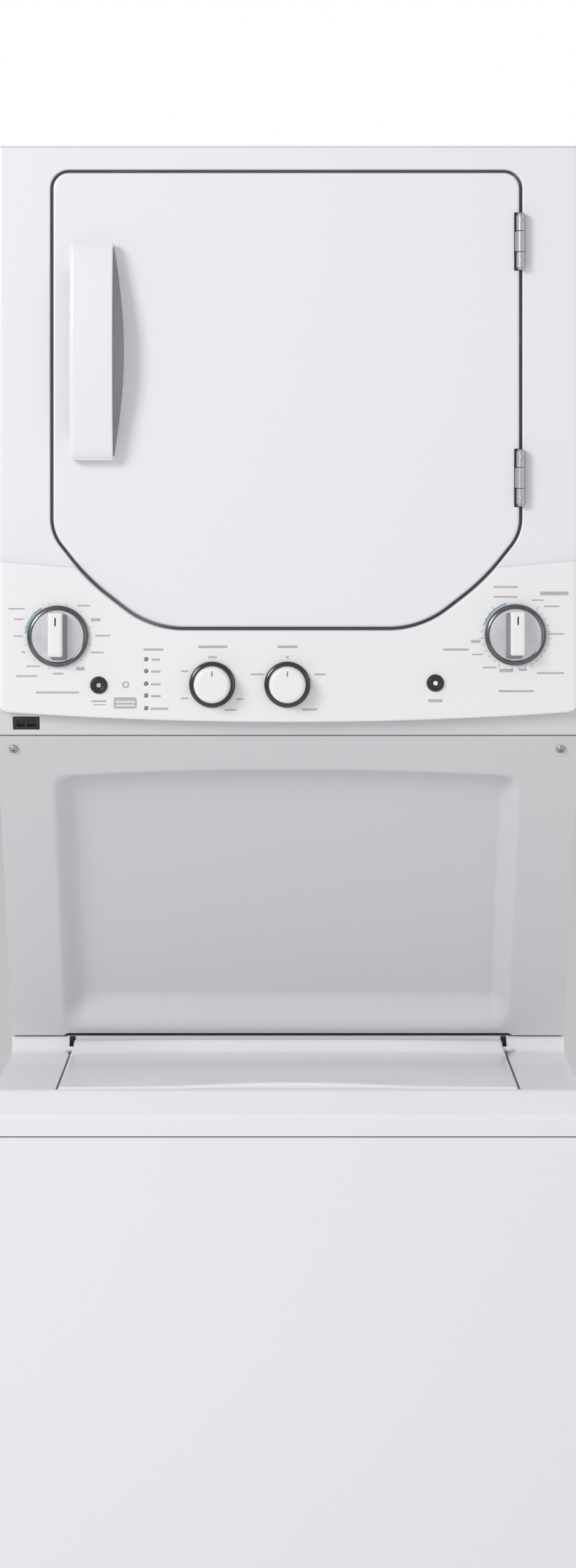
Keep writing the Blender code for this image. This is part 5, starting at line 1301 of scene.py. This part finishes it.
core = turned("agitator_core", [(0, 0.158), (0.0098, 0.158), (0.0098, 0.3300), (0.0400, 0.3300), (0.0745, 0.2530), (0.186, 0.2194), (0.1890, 0.2196), (0.1900, 0.2210),
                                (0.1895, 0.2230), (0.1870, 0.2240), (0.1200, 0.2395), (0.0840, 0.2540), (0.0640, 0.2760), (0.0530, 0.3060), (0.0470, 0.3400), (0.0425, 0.4200),
                                (0.0402, 0.5000), (0.0400, 0.5550), (0.0440, 0.5700), (0.0490, 0.5800), (0.0500, 0.5870), (0.0490, 0.5960), (0.0460, 0.6060), (0.0420, 0.6120),
                                (0.0330, 0.6170), (0.0210, 0.6200), (0.0200, 0.6218), (0, 0.6220)], "Z", (0, TY, 0), 96)
fins = []
for i in range(4):
    t = math.radians(45 + 90 * i)
    d, e = Vector((math.cos(t), math.sin(t), 0)), Vector((-math.sin(t), math.cos(t), 0))
    outline = rounded([(0.020, 0.2215, 0), (0.184, 0.2215, 0.002), (0.181, 0.2560, 0.012), (0.140, 0.2830, 0.03), (0.086, 0.3400, 0.04), (0.066, 0.4300, 0.05), (0.060, 0.5300, 0.008),
                       (0.020, 0.5450, 0)], 6)
    rows = []
    for w, ins in ((-0.0048, 0.0022), (-0.0044, 0.0008), (-0.0034, 0.0), (0.0034, 0.0), (0.0044, 0.0008), (0.0048, 0.0022)):
        pts = inset(outline, ins)
        rows.append([tuple(Vector((0, TY, 0)) + d * p[0] + e * w + Vector((0, 0, max(p[1], 0.2212)))) for p in pts])
    fins.append(loft("t_fin%d" % i, rows))
piece(joined("agitator_column", [core, *fins]), "agitator", "agitator", "agitator", angle=40, slot="agitator_plastic", weight=False)

tub_parts = [turned("t_tub", [(0.026, 0.200), (0.272, 0.200), (0.290, 0.208), (0.298, 0.218), (0.300, 0.230), (0.300, 0.7100), (0.2980, 0.7140), (0.2900, 0.7175), (0.2620, 0.7238), (0.2500, 0.7240),
                             (0.2480, 0.7232), (0.2480, 0.7220), (0.2500, 0.7212), (0.2600, 0.7208), (0.2880, 0.7148), (0.2955, 0.7110), (0.297, 0.7080), (0.297, 0.2290), (0.2950, 0.2210),
                             (0.2880, 0.2105), (0.2705, 0.2035), (0.026, 0.2035)], "Z", (0, TY, 0), 120)]
for nm in ("front_left", "front_right", "rear_left", "rear_right"):
    a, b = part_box("suspension_rod_" + nm)
    c = Vector(((a.x + b.x) / 2, (a.y + b.y) / 2, 0))
    d = (c - Vector((0, TY, 0))).normalized()
    e = Vector((-d.y, d.x, 0))
    p0 = Vector((0, TY, 0)) + d * 0.2985
    q = [p0 - e * 0.022, c + d * 0.010 - e * 0.014, c + d * 0.013 + e * 0.0, c + d * 0.010 + e * 0.014, p0 + e * 0.022]
    lug = prism("t_lug", [(p.x, p.y) for p in q], "Z", 0.300, 0.306)
    cut(lug, turned("t_lh", [(0, 0.29), (0.0045, 0.29), (0.0045, 0.32), (0, 0.32)], "Z", (c.x, c.y, 0), 24))
    bevel(lug, 0.001, 2, 40)
    tub_parts.append(lug)
piece(joined("tub_shell", tub_parts), "tub", "root", "outer_tub", angle=40, slot="tub_plastic", weight=False)

# ------------------------------------------------------------------ finishes of the CAD nodes that stay
STAY = {
    "galvanised": ["heater_pan", "dryer_base_shelf"],
    "steel": ["suspension_rod_front_left", "suspension_rod_front_right", "suspension_rod_rear_left", "suspension_rod_rear_right", "washer_motor_pulley"],
    "liner": ["door_catch", "water_inlet_valve"],
    "black": ["drain_pump"],
    "rubber": ["washer_belt", "drum_belt"],
    "motor": ["transmission", "drive_pulley", "washer_motor", "dryer_motor", "blower_wheel", "drum_bearing", "washer_timer", "dryer_timer"],
}
for key, names in STAY.items():
    for n in names:
        body = next(b for b, ns in frame["record"]["behaviour"]["bodies"].items() if n in ns)
        refined(n + "_part", n, key, body, 0.0006, 2)
refined("blower_duct", "blower_housing", "galvanised", "root", 0.0, slot="steel")
for o in frame["nodes"].values():
    if not o.hide_render:
        for s in range(len(o.material_slots)):
            o.material_slots[s].material = M["galvanised"]

# ------------------------------------------------------------------ stage, light, camera
bm = bmesh.new()
bmesh.ops.create_grid(bm, x_segments=2, y_segments=2, size=30.0)
floor = new_object("floor", bm)
floor.data.materials.append(M["floor"])

world = bpy.data.worlds.new("studio")
bpy.context.scene.world = world
world.use_nodes = True
wt = world.node_tree
seen = wt.nodes["Background"]
seen.inputs["Color"].default_value = (1.0, 1.0, 1.0, 1.0)
seen.inputs["Strength"].default_value = 1.0
glow = wt.nodes.new("ShaderNodeBackground")
glow.inputs["Color"].default_value = (0.985, 0.99, 1.0, 1.0)
glow.inputs["Strength"].default_value = 0.58
path = wt.nodes.new("ShaderNodeLightPath")
pick = wt.nodes.new("ShaderNodeMixShader")
wt.links.new(path.outputs["Is Camera Ray"], pick.inputs[0])
wt.links.new(glow.outputs[0], pick.inputs[1])
wt.links.new(seen.outputs[0], pick.inputs[2])
wt.links.new(pick.outputs[0], wt.nodes["World Output"].inputs["Surface"])


def area(name, loc, target, size, size_y, power, colour=(1, 1, 1)):
    l = bpy.data.lights.new(name, "AREA")
    l.shape = "RECTANGLE"
    l.size, l.size_y = size, size_y
    l.energy = power
    l.color = colour
    o = bpy.data.objects.new(name, l)
    bpy.context.scene.collection.objects.link(o)
    o.location = loc
    o.rotation_euler = (Vector(target) - Vector(loc)).to_track_quat("-Z", "Y").to_euler()
    return o


area("key", (-3.0, -3.7, 3.2), (0, -0.2, 1.1), 1.6, 1.6, 108, (1.0, 0.99, 0.98))
area("fill", (3.0, -3.6, 1.6), (0, -0.2, 1.0), 2.4, 2.4, 16, (0.97, 0.98, 1.0))

cam = bpy.data.cameras.new("camera")
cam.lens = 99.3
cam.sensor_width = 36.0
cam.sensor_fit = "AUTO"
cam.shift_y = -0.187
co = bpy.data.objects.new("camera", cam)
bpy.context.scene.collection.objects.link(co)
co.location = (0.0, -5.375, 1.525)
co.rotation_euler = (math.radians(90), 0, 0)
bpy.context.scene.camera = co
bpy.context.scene.view_settings.view_transform = "Standard"
